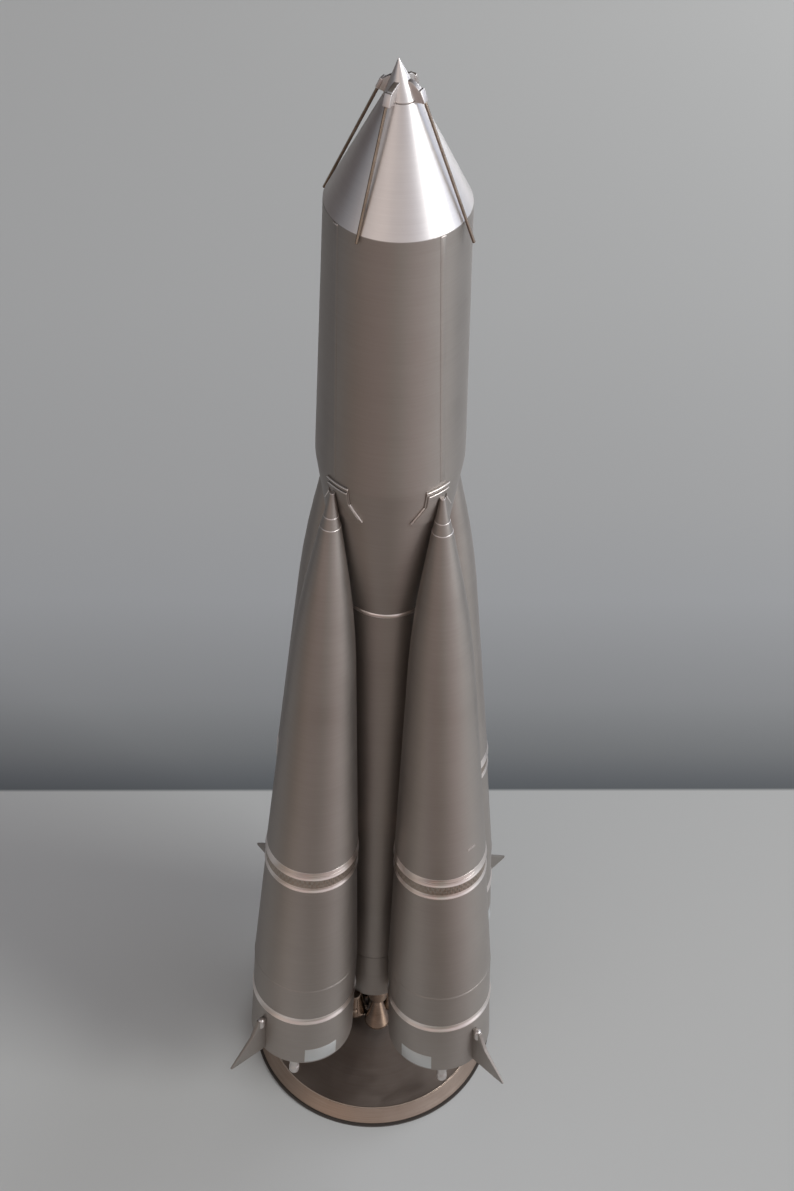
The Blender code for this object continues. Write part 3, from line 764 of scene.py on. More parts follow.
@dataclass(frozen=True)
class Core:
    """Core stage: tail, polished ring, taper and upper tank, turned from one bar."""

    bottom: float = 41.0
    tail_radius: float = 13.4
    seam_height: float = 67.6
    ring_bottom: float = 253.6
    ring_top: float = 255.2
    ring_radius: float = 13.8
    knee: Corner = (20.49, 308.5)
    tank_top: Corner = (18.08, 388.6)
    rib_width: float = 1.6
    rib_height: float = 0.05
    rib_bottom: float = 310.2
    rib_top: float = 388.5
    rib_twist: float = math.radians(-6.5 / 75.0)
    pad_top: float = 308.7
    pad_offset: float = math.radians(4.0)

    def radius_at(self, height: float) -> float:
        """Return the radius of the taper or of the upper tank at a height."""
        if height > self.knee[1]:
            return radius_between(self.knee, self.tank_top, height)
        return radius_between((self.ring_radius, self.ring_top), self.knee, height)

    def wrap(self, bm: bmesh.types.BMesh, heading: float, twist: float = 0.0, start: float = 0.0) -> None:
        """Bend a flat form round the core: X goes round it, Y is its height above the surface.

        Args:
            bm: Form in millimetres, with real heights in Z.
            heading: Direction of its middle.
            twist: Turn about the core for each millimetre of height.
            start: Height where the twist begins.
        """
        for vert in bm.verts:
            reach = self.radius_at(vert.co.z)
            angle = heading + vert.co.x / reach + twist * (vert.co.z - start)
            across, along = around(reach + vert.co.y, angle)
            vert.co = (across, along, vert.co.z)
        bmesh.ops.recalc_face_normals(bm, faces=bm.faces[:])

    def build(self) -> None:
        """Build the tail, the ring, the taper, the tank, its ribs and the tip pads."""
        self.build_tail()
        self.build_ring()
        self.build_taper()
        self.build_tank()
        self.build_ribs()
        for index, name in enumerate(BOOSTER_NAMES):
            self.build_pad(name, index)

    def build_tail(self) -> None:
        """Turn the straight tail with a shallow joint line low down."""
        radius = self.tail_radius
        outline: Outline = [
            (0.0, self.bottom),
            (radius - 0.9, self.bottom, 0.1),
            (radius, self.bottom + 0.5, 0.2),
            (radius, self.seam_height - 0.35, 0.04),
            (radius - 0.35, self.seam_height - 0.3, 0.0),
            (radius - 0.35, self.seam_height + 0.1, 0.0),
            (radius + 0.04, self.seam_height + 0.15, 0.04),
            (radius + 0.04, self.seam_height + 0.45, 0.04),
            (radius, self.seam_height + 0.55, 0.0),
            (radius, self.ring_bottom - 0.4, 0.0),
            (radius - 0.15, self.ring_bottom - 0.3, 0.0),
            (radius - 0.15, self.ring_bottom + 0.2, 0.0),
            (0.0, self.ring_bottom + 0.2),
        ]
        finish_piece("core_tail", lathe(outline, CORE_SIDES), BLASTED, ("core_tail_tank",))

    def build_ring(self) -> None:
        """Turn the bright ring at the foot of the taper."""
        outline: Outline = [
            (0.0, self.ring_bottom),
            (self.ring_radius - 0.2, self.ring_bottom, 0.1),
            (self.ring_radius + 0.05, self.ring_bottom + 0.35, 0.2),
            (self.ring_radius + 0.05, self.ring_top - 0.35, 0.2),
            (self.ring_radius - 0.2, self.ring_top, 0.1),
            (0.0, self.ring_top),
        ]
        finish_piece("core_bright_ring", lathe(outline, CORE_SIDES), POLISHED, ("core_ring",))

    def build_taper(self) -> None:
        """Turn the taper that widens from the ring to the knee."""
        foot = (self.ring_radius - 0.1, self.ring_top + 0.1)
        outline: Outline = [
            (0.0, foot[1]),
            (foot[0], foot[1], 0.1),
            (self.knee[0], self.knee[1], 1.6),
            (self.knee[0] - 0.08, self.knee[1] + 2.0, 0.0),
            (0.0, self.knee[1] + 2.0),
        ]
        finish_piece("core_taper_shell", lathe(outline, CORE_SIDES), BLASTED, ("core_taper",))

    def build_tank(self) -> None:
        """Turn the upper tank from just above the knee to the nose cone's foot."""
        foot = self.knee[1] + 2.0
        outline: Outline = [
            (0.0, foot),
            (radius_between(self.knee, self.tank_top, foot), foot, 0.02),
            (self.tank_top[0], self.tank_top[1], 0.12),
            (self.tank_top[0] - 0.5, self.tank_top[1] + 0.15, 0.0),
            (0.0, self.tank_top[1] + 0.15),
        ]
        finish_piece("core_upper_tank_shell", lathe(outline, CORE_SIDES), BLASTED, ("core_upper_tank",))

    def build_ribs(self) -> None:
        """Lay a narrow flat rib up the tank above each booster, slightly askew, with a small bright tip at
        its top that paints the glint there.
        """
        ribs = []
        glint_tips = []
        for index in range(4):
            heading = (index + 0.5) * QUARTER
            half = self.rib_width / 2.0
            # Small polished piece at the rib's top end: a painted glint.
            tip = plate([
                (-half, self.rib_top - 0.4), (half, self.rib_top - 0.4), (half, self.rib_top - 0.02),
                (-half, self.rib_top - 0.02)], 0.5)
            soften(tip, 0.1, steps=3)
            self.wrap(tip, heading, self.rib_twist, self.rib_bottom)
            glint_tips.append(tip)
            rib = plate([
                (-self.rib_width / 2.0, self.rib_bottom), (self.rib_width / 2.0, self.rib_bottom),
                (self.rib_width / 2.0, self.rib_top), (-self.rib_width / 2.0, self.rib_top)],
                self.rib_height * 2.0)
            soften(rib, self.rib_height * 0.4)
            slice_form(rib, "z", self.rib_bottom, self.rib_top, 4.0)
            self.wrap(rib, heading, self.rib_twist, self.rib_bottom)
            ribs.append(rib)
        finish_piece("tank_ribs", join(ribs), BLASTED)
        finish_piece("tank_rib_glint_tips", join(glint_tips), POLISHED)

    def build_pad(self, name: str, index: int) -> None:
        """Bend the two-step pad behind a booster's tip round the core, with bright strips on its edges that
        paint their highlights.

        Args:
            name: Booster that it belongs to.
            index: Booster's place in the row of names.
        """
        side = 1.0 if index % 2 == 0 else -1.0
        heading = (index + 0.5) * QUARTER - side * self.pad_offset
        tip = side * self.pad_offset * self.radius_at(self.pad_top)
        base = [
            (-3.8, self.pad_top), (3.8, self.pad_top), (3.8, 302.6), (7.1, 296.9), (6.6, 296.0),
            (5.0, 295.4), (-5.0, 295.4), (-6.6, 296.0), (-7.1, 296.9), (-3.8, 302.6)]
        step_top = self.pad_top - 1.6
        step = [
            (-3.3, step_top), (3.5, step_top), (3.5, 302.8), (6.3, 297.8), (4.6, 297.1),
            (tip + 1.7, 302.4), (tip + 1.7, 304.6), (tip + 0.9, 305.5), (tip - 0.9, 305.5),
            (tip - 1.7, 304.6), (tip - 1.7, 302.4), (-4.6, 297.1), (-6.3, 297.8), (-3.3, 302.8)]
        slant = [(3.66, 302.4), (3.95, 302.7), (7.25, 297.0), (6.96, 296.75)]
        # Bright strips along the top, step and slanted edges: painted highlights where those edges catch the
        # light.
        highlight_trims = [
            [(-3.9, self.pad_top - 0.45), (3.9, self.pad_top - 0.45), (3.9, self.pad_top),
             (-3.9, self.pad_top)],
            [(-3.3, step_top - 0.35), (3.5, step_top - 0.35), (3.5, step_top), (-3.3, step_top)],
            slant, [(-out, up) for out, up in slant]]
        pad = [self.pad_form(base, -0.8, 0.4, heading), self.pad_form(step, -0.2, 0.72, heading)]
        finish_piece("tip_pad_" + name, join(pad), BLASTED, ("booster_pad_" + name,))
        reaches = (0.6, 0.9, 0.52, 0.52)
        edges = [
            self.pad_form(points, 0.0, reach, heading) for points, reach in zip(highlight_trims, reaches)]
        finish_piece("tip_pad_highlight_trim_" + name, join(edges), POLISHED)

    def pad_form(
            self, points: list[tuple[float, float]], low: float, high: float,
            heading: float) -> bmesh.types.BMesh:
        """Cut one flat form of a pad and bend it round the core.

        Args:
            points: Outline as (across, height) corners.
            low: Its inner face above the core's surface.
            high: Its outer face above the core's surface.
            heading: Direction of the pad's middle.

        Returns:
            A closed mesh with soft edges.
        """
        form = plate(points, high - low)
        bmesh.ops.translate(form, verts=form.verts[:], vec=(0.0, (high + low) / 2.0, 0.0))
        soften(form, 0.16, steps=3)
        slice_form(form, "x", -7.2, 7.2, 0.6)
        slice_form(form, "z", 295.0, self.pad_top, 1.5)
        self.wrap(form, heading)
        return form


@dataclass(frozen=True)
class Nose:
    """Bright nose cone, its pointed cap, and the wire antennas on their brackets."""

    foot: Corner = (18.08, 388.6)
    seam: Corner = (4.12, 416.5)
    apex_height: float = 425.8
    apex_lean: float = 0.9
    rod_radius: float = 0.4
    rod_top: Corner = (6.2, 416.4)
    rod_foot: Corner = (21.0, 383.8)
    bent_rod_name: str = "front_left"
    bent_rod_top: Corner = (7.0, 416.7)
    bent_rod_foot: Corner = (19.25, 386.95)
    web_thickness: float = 1.4
    shoe_size: tuple[float, float, float] = (0.95, 1.9, 3.2)

    def rod_axis(self, name: str, heading: float) -> Axis:
        """Return the axis of one rod, which is bent inwards on one side as on the real model."""
        if name == self.bent_rod_name:
            return Axis(foot=self.bent_rod_foot, tip=self.bent_rod_top, heading=heading)
        return Axis(foot=self.rod_foot, tip=self.rod_top, heading=heading)

    def build(self) -> None:
        """Build the cone, the cap, the brackets and the rods."""
        self.build_cone()
        self.build_cap()
        for index, name in enumerate(BOOSTER_NAMES):
            heading = QUARTER / 2.0 + NOSE_TURN + index * QUARTER
            self.build_bracket(name, heading)
            self.build_rod(name, heading)

    def build_cone(self) -> None:
        """Turn the nose cone, closed by a shallow groove at the cap's seam."""
        outline: Outline = [
            (0.0, self.foot[1]),
            (self.foot[0] - 0.05, self.foot[1], 0.06),
            (self.seam[0] + 0.12, self.seam[1] - 0.2, 0.05),
            (self.seam[0] - 0.25, self.seam[1] - 0.1, 0.0),
            (self.seam[0] - 0.25, self.seam[1] + 0.3, 0.0),
            (0.0, self.seam[1] + 0.3),
        ]
        finish_piece("nose_cone_shell", lathe(outline, CORE_SIDES), TURNED_BRIGHT, ("nose_cone",))

    def build_cap(self) -> None:
        """Turn the pointed cap and lean its tip a little to the left."""
        outline: Outline = [
            (0.0, self.seam[1] + 0.12),
            (self.seam[0] - 0.02, self.seam[1] + 0.12, 0.06),
            (0.25, self.apex_height - 0.5, 0.3),
            (0.0, self.apex_height - 0.05),
        ]
        bm = lathe(outline, BOOSTER_SIDES)
        for vert in bm.verts:
            share = (vert.co.z - self.seam[1]) / (self.apex_height - self.seam[1])
            vert.co.x -= self.apex_lean * max(0.0, share)
        finish_piece("nose_cap", bm, TURNED_BRIGHT, ("nose_fairing",))

    def build_bracket(self, name: str, heading: float) -> None:
        """Build one bracket: a web across the seam with a wider shoe that grips the wire.

        Args:
            name: Booster that it stands nearest to.
            heading: Its direction.
        """
        axis = self.rod_axis(name, heading)
        reach, foot = axis.tip
        web = plate(
            [(3.3, 415.7), (reach - 0.2, foot - 0.1), (reach - 0.9, foot + 2.2), (reach - 1.6, foot + 3.1),
             (3.1, 420.6), (1.6, 420.9), (2.6, 417.4)], self.web_thickness)
        soften(web, 0.16, steps=3)
        slope = math.atan2(axis.foot[0] - reach, foot - axis.foot[1])
        shoe = block(self.shoe_size, (0.0, 0.0, self.shoe_size[2] / 2.0))
        soften(shoe, 0.22, steps=3)
        lean = Matrix.Translation((reach, 0.0, foot)) @ Matrix.Rotation(-slope, 4, "Y")
        bmesh.ops.transform(shoe, matrix=lean, verts=shoe.verts[:])
        bm = join([web, shoe])
        turn = Matrix.Rotation(heading - QUARTER, 4, "Z")
        bmesh.ops.transform(bm, matrix=turn, verts=bm.verts[:])
        finish_piece("antenna_shoe_" + name, bm, MILLED, ("antenna_bracket_" + name,))

    def build_rod(self, name: str, heading: float) -> None:
        """Build one straight wire rod with a rounded foot.

        Args:
            name: Booster that it stands nearest to.
            heading: Its direction.
        """
        axis = self.rod_axis(name, heading)
        length = axis.length()
        outline: Outline = [
            (0.0, 0.0),
            (self.rod_radius, 0.0, 0.15),
            (self.rod_radius, length, 0.1),
            (0.0, length),
        ]
        finish_piece(
            "antenna_wire_" + name, lathe(outline, WIRE_SIDES), WIRE, ("antenna_rod_" + name,), axis)


@dataclass(frozen=True)
class Bell:
    """One engine bell hung from its mount, with or without a chamber above the throat."""

    exit_radius: float
    throat_radius: float
    length: float
    flare: float = 1.35
    chamber_radius: float = 0.0
    chamber_length: float = 0.0
    wall: float = 0.35
    steps: int = 12

    def radius_at(self, share: float) -> float:
        """Return the outer radius at a share of the way from the throat to the exit."""
        return self.throat_radius + (self.exit_radius - self.throat_radius) * share ** self.flare

    def mesh(self, top: float, centre: tuple[float, float]) -> bmesh.types.BMesh:
        """Turn the bell.

        Args:
            top: Height that it hangs from.
            centre: X and Y of its own axis.

        Returns:
            A closed mesh, open at the bell's mouth.
        """
        throat = top - self.chamber_length
        drop = self.length - self.chamber_length
        outline: Outline = [(0.0, top)]
        if self.chamber_length > 0.0:
            outline += [
                (self.chamber_radius, top, 0.1),
                (self.chamber_radius, throat + self.chamber_length * 0.22, 0.9),
                (self.throat_radius, throat + 0.6, 0.5),
            ]
        shares = [index / self.steps for index in range(self.steps + 1)]
        outline += [(self.radius_at(share), throat - drop * share, 0.0) for share in shares]
        lip = self.radius_at(1.0)
        outline += [(lip + 0.1, throat - drop + 0.1, 0.0), (lip + 0.1, throat - drop - 0.35, 0.06)]
        outline += [(lip - self.wall, throat - drop - 0.35, 0.06)]
        outline += [
            (max(self.radius_at(share) - self.wall, 0.3), throat - drop * share, 0.0)
            for share in reversed(shares[1:])]
        outline += [(0.0, throat - drop * 0.02)]
        return lathe(outline, BELL_SIDES, centre)


@dataclass(frozen=True)
class Peg:
    """Small steering nozzle with a collar at its top."""

    radius: float
    lug: float
    length: float

    def mesh(self, top: float, centre: tuple[float, float]) -> bmesh.types.BMesh:
        """Turn the nozzle.

        Args:
            top: Height that it hangs from.
            centre: X and Y of its own axis.

        Returns:
            A closed mesh, open at its mouth.
        """
        r = self.radius
        outline: Outline = [
            (0.0, top),
            (self.lug, top, 0.1),
            (self.lug, top - self.length * 0.1, 0.15),
            (r, top - self.length * 0.16, 0.2),
            (r, top - self.length * 0.6, 0.2),
            (r * 0.84, top - self.length * 0.64, 0.15),
            (r * 0.84, top - self.length * 0.7, 0.15),
            (r * 1.04, top - self.length * 0.76, 0.4),
            (r * 1.04, top - self.length, 0.35),
            (r * 0.6, top - self.length, 0.06),
            (r * 0.5, top - self.length * 0.85, 0.1),
            (0.0, top - self.length * 0.83),
        ]
        return lathe(outline, PEG_SIDES, centre)


@dataclass(frozen=True)
class CoreEngine:
    """Core engine: four long bells on a plate, with four small nozzles on lugs outside them."""

    top: float = 40.7
    plate_thickness: float = 1.2
    plate_radius: float = 12.6
    bell: Bell = Bell(
        exit_radius=4.8, throat_radius=1.6, length=27.2, flare=1.05, chamber_radius=3.6,
        chamber_length=12.6)
    bell_circle: float = 7.0
    peg: Peg = Peg(radius=1.2, lug=2.2, length=16.5)
    peg_circle: float = 14.2

    def build(self) -> None:
        """Build the plate with its bells and its nozzles."""
        bottom = self.top - self.plate_thickness
        outline: Outline = [
            (0.0, bottom), (self.plate_radius, bottom, 0.2), (self.plate_radius, self.top, 0.2),
            (0.0, self.top)]
        finish_piece("core_engine_plate", lathe(outline, CORE_SIDES), BLASTED, ("core_engine",))
        first = QUARTER / 2.0 + NOSE_TURN
        for index, name in enumerate(BOOSTER_NAMES):
            bell_place = around(self.bell_circle, first + (index + 0.5) * QUARTER)
            finish_piece("core_bell_" + name, self.bell.mesh(bottom + 0.1, bell_place), NOZZLE)
            peg_place = around(self.peg_circle, first + index * QUARTER)
            finish_piece("core_nozzle_" + name, self.peg.mesh(self.top - 0.1, peg_place), NOZZLE)


@dataclass(frozen=True)
class Booster:
    """One booster, built about its own axis: +Z up it, +X away from the core."""

    name: str
    heading: float
    foot: Corner = (35.99, 42.76)
    tip: Corner = (20.98, 303.9)
    skirt_radius: float = 18.72
    skirt_wall: float = 0.9
    skirt_recess: float = 3.0
    ring_bottom: float = 25.4
    ring_top: float = 28.7
    ring_radius: float = 18.25
    seam: Corner = (18.09, 45.9)
    band_bottom: float = 100.6
    knurl_bottom: float = 102.7
    knurl_top: float = 107.0
    band_top: float = 110.7
    band_radius: float = 15.15
    band_top_radius: float = 14.93
    relief: float = 0.2
    knee: Corner = (8.86, 212.8)
    low_ring: Corner = (2.98, 250.0)
    high_ring: Corner = (2.16, 253.8)
    tip_rise: float = 0.45
    cap_radius: float = 0.77
    bell: Bell = Bell(exit_radius=4.4, throat_radius=2.2, length=9.5, flare=0.8)
    bell_circle: float = 7.4
    peg: Peg = Peg(radius=1.8, lug=2.1, length=12.0)
    peg_circle: float = 15.1
    peg_angle: float = math.radians(39.5)
    plate_angles: tuple[float, float] = (math.radians(52.0), math.radians(90.0))
    plate_low: float = 0.8
    plate_high: float = 8.6
    glint_booster: str = "front_right"

    def axis(self) -> Axis:
        """Return the booster's own axis."""
        return Axis(foot=self.foot, tip=self.tip, heading=self.heading)

    def add(self, part: str, bm: bmesh.types.BMesh, finish: MetalFinish, stands_for: str = "") -> None:
        """Finish one piece of this booster.

        Args:
            part: Piece's name without the booster's.
            bm: Its mesh in own axes.
            finish: Its metal.
            stands_for: CAD node that it replaces, without the booster's name.
        """
        nodes = (stands_for + "_" + self.name,) if stands_for else ()
        finish_piece(part + "_" + self.name, bm, finish, nodes, self.axis())

    def build(self) -> None:
        """Build the whole booster from its skirt up."""
        self.build_skirt()
        self.build_lower_tank()
        self.build_band()
        self.build_upper_tank()
        self.build_nose()
        self.build_fin()
        self.build_engine()
        self.build_skirt_plates()
        if self.name == self.glint_booster:
            self.build_glint_bar()

    def build_skirt(self) -> None:
        """Turn the skirt shell and the wide polished ring above it."""
        inner = self.skirt_radius - self.skirt_wall
        shell: Outline = [
            (0.0, self.skirt_recess),
            (inner, self.skirt_recess, 0.3),
            (inner, 0.0, 0.1),
            (self.skirt_radius, 0.0, 0.15),
            (self.ring_radius + 0.05, self.ring_bottom, 0.0),
            (self.ring_radius - 0.2, self.ring_bottom + 0.1, 0.0),
            (0.0, self.ring_bottom + 0.1),
        ]
        self.add("skirt_shell", lathe(shell, BOOSTER_SIDES), BLASTED, "booster_skirt")
        proud = self.ring_radius + self.relief
        ring: Outline = [
            (0.0, self.ring_bottom),
            (self.ring_radius - 0.1, self.ring_bottom, 0.0),
            (proud + 0.25, self.ring_bottom + 0.15, 0.1),
            (proud + 0.22, self.ring_bottom + 0.45, 0.15),
            (self.ring_radius - 0.18, self.ring_bottom + 1.7, 0.4),
            (self.ring_radius - 0.28, self.ring_top - 0.1, 0.1),
            (self.ring_radius - 0.3, self.ring_top, 0.0),
            (0.0, self.ring_top),
        ]
        self.add("skirt_ring", lathe(ring, BOOSTER_SIDES), POLISHED)

    def build_lower_tank(self) -> None:
        """Turn the lower tank with a fine raised seam line."""
        seam_radius, seam_height = self.seam
        above = radius_between(self.seam, (self.band_radius, self.band_bottom), seam_height + 0.4)
        outline: Outline = [
            (0.0, self.ring_top),
            (self.ring_radius - 0.05, self.ring_top, 0.0),
            (seam_radius, seam_height - 0.3, 0.02),
            (seam_radius - 0.07, seam_height - 0.2, 0.0),
            (seam_radius - 0.07, seam_height - 0.1, 0.0),
            (seam_radius + 0.06, seam_height, 0.03),
            (seam_radius + 0.06, seam_height + 0.3, 0.03),
            (above, seam_height + 0.4, 0.0),
            (self.band_radius, self.band_bottom, 0.0),
            (0.0, self.band_bottom),
        ]
        self.add("lower_tank_shell", lathe(outline, BOOSTER_SIDES), BLASTED, "booster_lower_tank")

    def build_band(self) -> None:
        """Turn the lower bright ring, the knurled band and the two bright beads above it."""
        proud = self.band_radius + self.relief
        low: Outline = [
            (0.0, self.band_bottom),
            (self.band_radius - 0.05, self.band_bottom, 0.0),
            (proud + 0.18, self.band_bottom + 0.12, 0.08),
            (proud + 0.15, self.band_bottom + 0.4, 0.1),
            (self.band_radius, self.band_bottom + 1.15, 0.3),
            (self.band_radius - 0.1, self.knurl_bottom - 0.1, 0.05),
            (self.band_radius - 0.15, self.knurl_bottom, 0.0),
            (0.0, self.knurl_bottom),
        ]
        self.add("band_low_ring", lathe(low, BOOSTER_SIDES), POLISHED)
        self.add("band_knurl", self.knurl(), KNURLED, "booster_band")
        middle = (self.knurl_top + self.band_top) / 2.0
        top = self.band_top_radius + self.relief
        beads: Outline = [
            (0.0, self.knurl_top),
            (self.band_radius - 0.1, self.knurl_top, 0.0),
            (top + 0.28, self.knurl_top + 0.1, 0.08),
            (top + 0.25, self.knurl_top + 0.35, 0.1),
            (top - 0.05, self.knurl_top + 1.0, 0.3),
            (top - 0.12, middle - 0.3, 0.05),
            (top - 0.6, middle - 0.22, 0.0),
            (top - 0.6, middle + 0.15, 0.0),
            (top + 0.05, middle + 0.2, 0.06),
            (top + 0.02, middle + 0.45, 0.1),
            (top - 0.14, middle + 1.05, 0.3),
            (top - 0.2, self.band_top - 0.15, 0.05),
            (self.band_top_radius - 0.3, self.band_top, 0.0),
            (0.0, self.band_top),
        ]
        self.add("band_bright_beads", lathe(beads, BOOSTER_SIDES), POLISHED)

    def knurl(self) -> bmesh.types.BMesh:
        """Turn the knurled band and sink every second facet of its three rows.

        Returns:
            A closed mesh.
        """
        radius = self.band_radius - 0.03
        rise = (self.knurl_top - self.knurl_bottom) / 3.0
        outline: Outline = [(0.0, self.knurl_bottom, 0.0)]
        outline += [(radius, self.knurl_bottom + rise * row, 0.0) for row in range(4)]
        outline += [(0.0, self.knurl_top, 0.0)]
        bm = bmesh.new()
        corners = [bm.verts.new((point[0], 0.0, point[1])) for point in outline]
        for pair in zip(corners[:-1], corners[1:]):
            bm.edges.new(pair)
        bmesh.ops.spin(
            bm, geom=bm.verts[:] + bm.edges[:], cent=(0.0, 0.0, 0.0), axis=(0.0, 0.0, 1.0),
            angle=2.0 * math.pi, steps=120, use_merge=True)
        bmesh.ops.remove_doubles(bm, verts=bm.verts[:], dist=1e-4)
        bmesh.ops.recalc_face_normals(bm, faces=bm.faces[:])
        step = 2.0 * math.pi / 120.0
        sunk = []
        for face in bm.faces:
            middle = face.calc_center_median()
            if abs(face.normal.z) > 0.5:
                continue
            column = int(math.atan2(middle.y, middle.x) // step)
            row = int((middle.z - self.knurl_bottom) // rise)
            if (column + row) % 2:
                sunk.append(face)
        bmesh.ops.inset_individual(bm, faces=sunk, thickness=0.12, depth=-0.08, use_even_offset=True)
        return bm

    def build_upper_tank(self) -> None:
        """Turn the long upper tank, which bends in softly towards the nose."""
        outline: Outline = [
            (0.0, self.band_top - 0.05),
            (self.band_top_radius, self.band_top - 0.05, 0.0),
            (self.knee[0], self.knee[1], 16.0),
            (self.low_ring[0] + 0.02, self.low_ring[1], 0.0),
            (0.0, self.low_ring[1]),
        ]
        self.add("upper_tank_shell", lathe(outline, BOOSTER_SIDES), BLASTED, "booster_upper_tank")

    def build_nose(self) -> None:
        """Turn the nose with its two fine bright rings and its flat bright tip."""
        length = self.axis().length() + self.tip_rise
        low, high = self.low_ring, self.high_ring
        body: Outline = [
            (0.0, low[1]),
            (low[0] - 0.08, low[1], 0.0),
            (high[0] + 0.05, high[1] - 0.2, 0.0),
            (high[0] - 0.05, high[1] + 0.1, 0.0),
            (self.cap_radius + 0.02, length - 0.35, 0.0),
            (0.0, length - 0.35),
        ]
        self.add("nose_shell", lathe(body, BOOSTER_SIDES), BLASTED, "booster_nose")
        rings = []
        for radius, height in (low, high):
            rings.append(lathe([
                (0.0, height - 0.05),
                (radius - 0.1, height - 0.05, 0.0),
                (radius + 0.04, height + 0.02, 0.03),
                (radius + 0.0, height + 0.2, 0.03),
                (radius - 0.1, height + 0.3, 0.0),
                (0.0, height + 0.3),
            ], BELL_SIDES))
        cap: Outline = [
            (0.0, length - 0.4),
            (self.cap_radius + 0.02, length - 0.4, 0.0),
            (self.cap_radius, length - 0.05, 0.12),
            (0.0, length - 0.05),
        ]
        rings.append(lathe(cap, PEG_SIDES))
        self.add("nose_rings_and_tip", join(rings), MILLED)

    def build_fin(self) -> None:
        """Build the swept fin, thick at its root and thin at its tip."""
        root = self.skirt_radius + 0.1
        tip_reach = 34.0
        points = [
            (root - 0.4, 0.8), (tip_reach - 0.5, 0.8), (tip_reach, 1.6), (24.6, 12.4),
            (root + 3.0, 19.4), (root + 2.8, 20.0), (root - 0.4, 20.0)]
        bm = plate(points, 1.8)
        for vert in bm.verts:
            share = max(0.0, (vert.co.x - root) / (tip_reach - root))
            vert.co.y *= 1.0 - share * 0.67
        soften(bm, 0.14)
        self.add("fin_blade", bm, BLASTED_FLAT, "booster_fin")
        top: Outline = [(0.0, 16.0), (1.3, 16.0, 0.1), (1.3, 20.6, 1.2), (0.0, 20.6)]
        self.add("fin_root_pin", lathe(top, PEG_SIDES, (root + 1.3, 0.0)), MILLED)

    def build_engine(self) -> None:
        """Build the plate, four open bells and the two steering nozzles beside the fin."""
        top = self.skirt_recess + 0.1
        bottom = 1.1
        radius = self.skirt_radius - self.skirt_wall - 0.25
        outline: Outline = [
            (0.0, bottom), (radius, bottom, 0.2), (radius, top, 0.1), (0.0, top)]
        self.add("engine_plate", lathe(outline, BOOSTER_SIDES), BLASTED, "booster_engine")
        bells = [
            self.bell.mesh(bottom + 0.2, around(self.bell_circle, (index + 0.5) * QUARTER))
            for index in range(4)]
        self.add("engine_bells", join(bells), NOZZLE)
        pegs = [
            self.peg.mesh(bottom + 0.2, around(self.peg_circle, QUARTER + side * self.peg_angle))
            for side in (-1.0, 1.0)]
        self.add("steering_nozzles", join(pegs), MILLED)

    def curved_plate(
            self, low: Corner, high: Corner, angles: tuple[float, float],
            thickness: float) -> bmesh.types.BMesh:
        """Sweep a thin plate round the booster's wall.

        Args:
            low: Radius and height of its lower edge.
            high: Radius and height of its upper edge.
            angles: Where it starts and ends, from the fin.
            thickness: How far it stands off the wall.

        Returns:
            A closed mesh with soft edges.
        """
        bm = bmesh.new()
        section = [
            (low[0] - 0.3, low[1]), (low[0] + thickness, low[1]), (high[0] + thickness, high[1]),
            (high[0] - 0.3, high[1])]
        bm.faces.new([bm.verts.new((out, 0.0, up)) for out, up in section])
        bmesh.ops.rotate(bm, verts=bm.verts[:], matrix=Matrix.Rotation(angles[0], 3, "Z"))
        bmesh.ops.spin(
            bm, geom=bm.verts[:] + bm.edges[:] + bm.faces[:], cent=(0.0, 0.0, 0.0),
            axis=(0.0, 0.0, 1.0), angle=angles[1] - angles[0], steps=24)
        bmesh.ops.recalc_face_normals(bm, faces=bm.faces[:])
        return soften(bm, 0.04)

    def build_skirt_plates(self) -> None:
        """Lay a thin smooth plate on each side of the skirt, at its foot."""
        foot, top = (self.skirt_radius, 0.0), (self.ring_radius, self.ring_bottom)
        low = (radius_between(foot, top, self.plate_low), self.plate_low)
        high = (radius_between(foot, top, self.plate_high), self.plate_high)
        first, last = self.plate_angles
        plates = [
            self.curved_plate(low, high, angles, 0.06)
            for angles in ((first, last), (-last, -first))]
        self.add("skirt_plates", join(plates), SMOOTH)

    def build_glint_bar(self) -> None:
        """Lay the short raised bar above the band on one booster, in bright metal that paints the glint seen
        there.
        """
        foot = (self.band_top_radius, self.band_top)
        low = (radius_between(foot, self.knee, 121.4), 121.4)
        high = (radius_between(foot, self.knee, 122.2), 122.2)
        angles = (math.radians(-5.5), math.radians(7.6))
        self.add("short_glint_bar", self.curved_plate(low, high, angles, 0.16), MILLED)


@dataclass(frozen=True)
class PhotoCamera:
    """Camera at the photograph's place and angle."""

    place: tuple[float, float, float] = (9.15, -357.52, 634.89)
    pitch: float = 47.1842
    heading: float = 0.931
    roll: float = 2.2110
    focal_pixels: float = 1774.64
    image_height: float = 1191.0
    sensor: float = 36.0

    def build(self) -> None:
        """Make the camera and set it as the scene's."""
        data = bpy.data.cameras.new("photo_camera")
        data.sensor_fit = "VERTICAL"
        data.sensor_height = self.sensor
        data.lens = self.focal_pixels * self.sensor / self.image_height
        data.clip_start = 0.01
        camera = bpy.data.objects.new("photo_camera", data)
        turn = Matrix.Rotation(math.radians(self.heading), 4, "Z")
        turn = turn @ Matrix.Rotation(math.radians(90.0 - self.pitch), 4, "X")
        turn = turn @ Matrix.Rotation(math.radians(self.roll), 4, "Z")
        camera.matrix_world = Matrix.Translation(Vector(self.place) * MM) @ turn
        bpy.context.scene.collection.objects.link(camera)
        bpy.context.scene.camera = camera


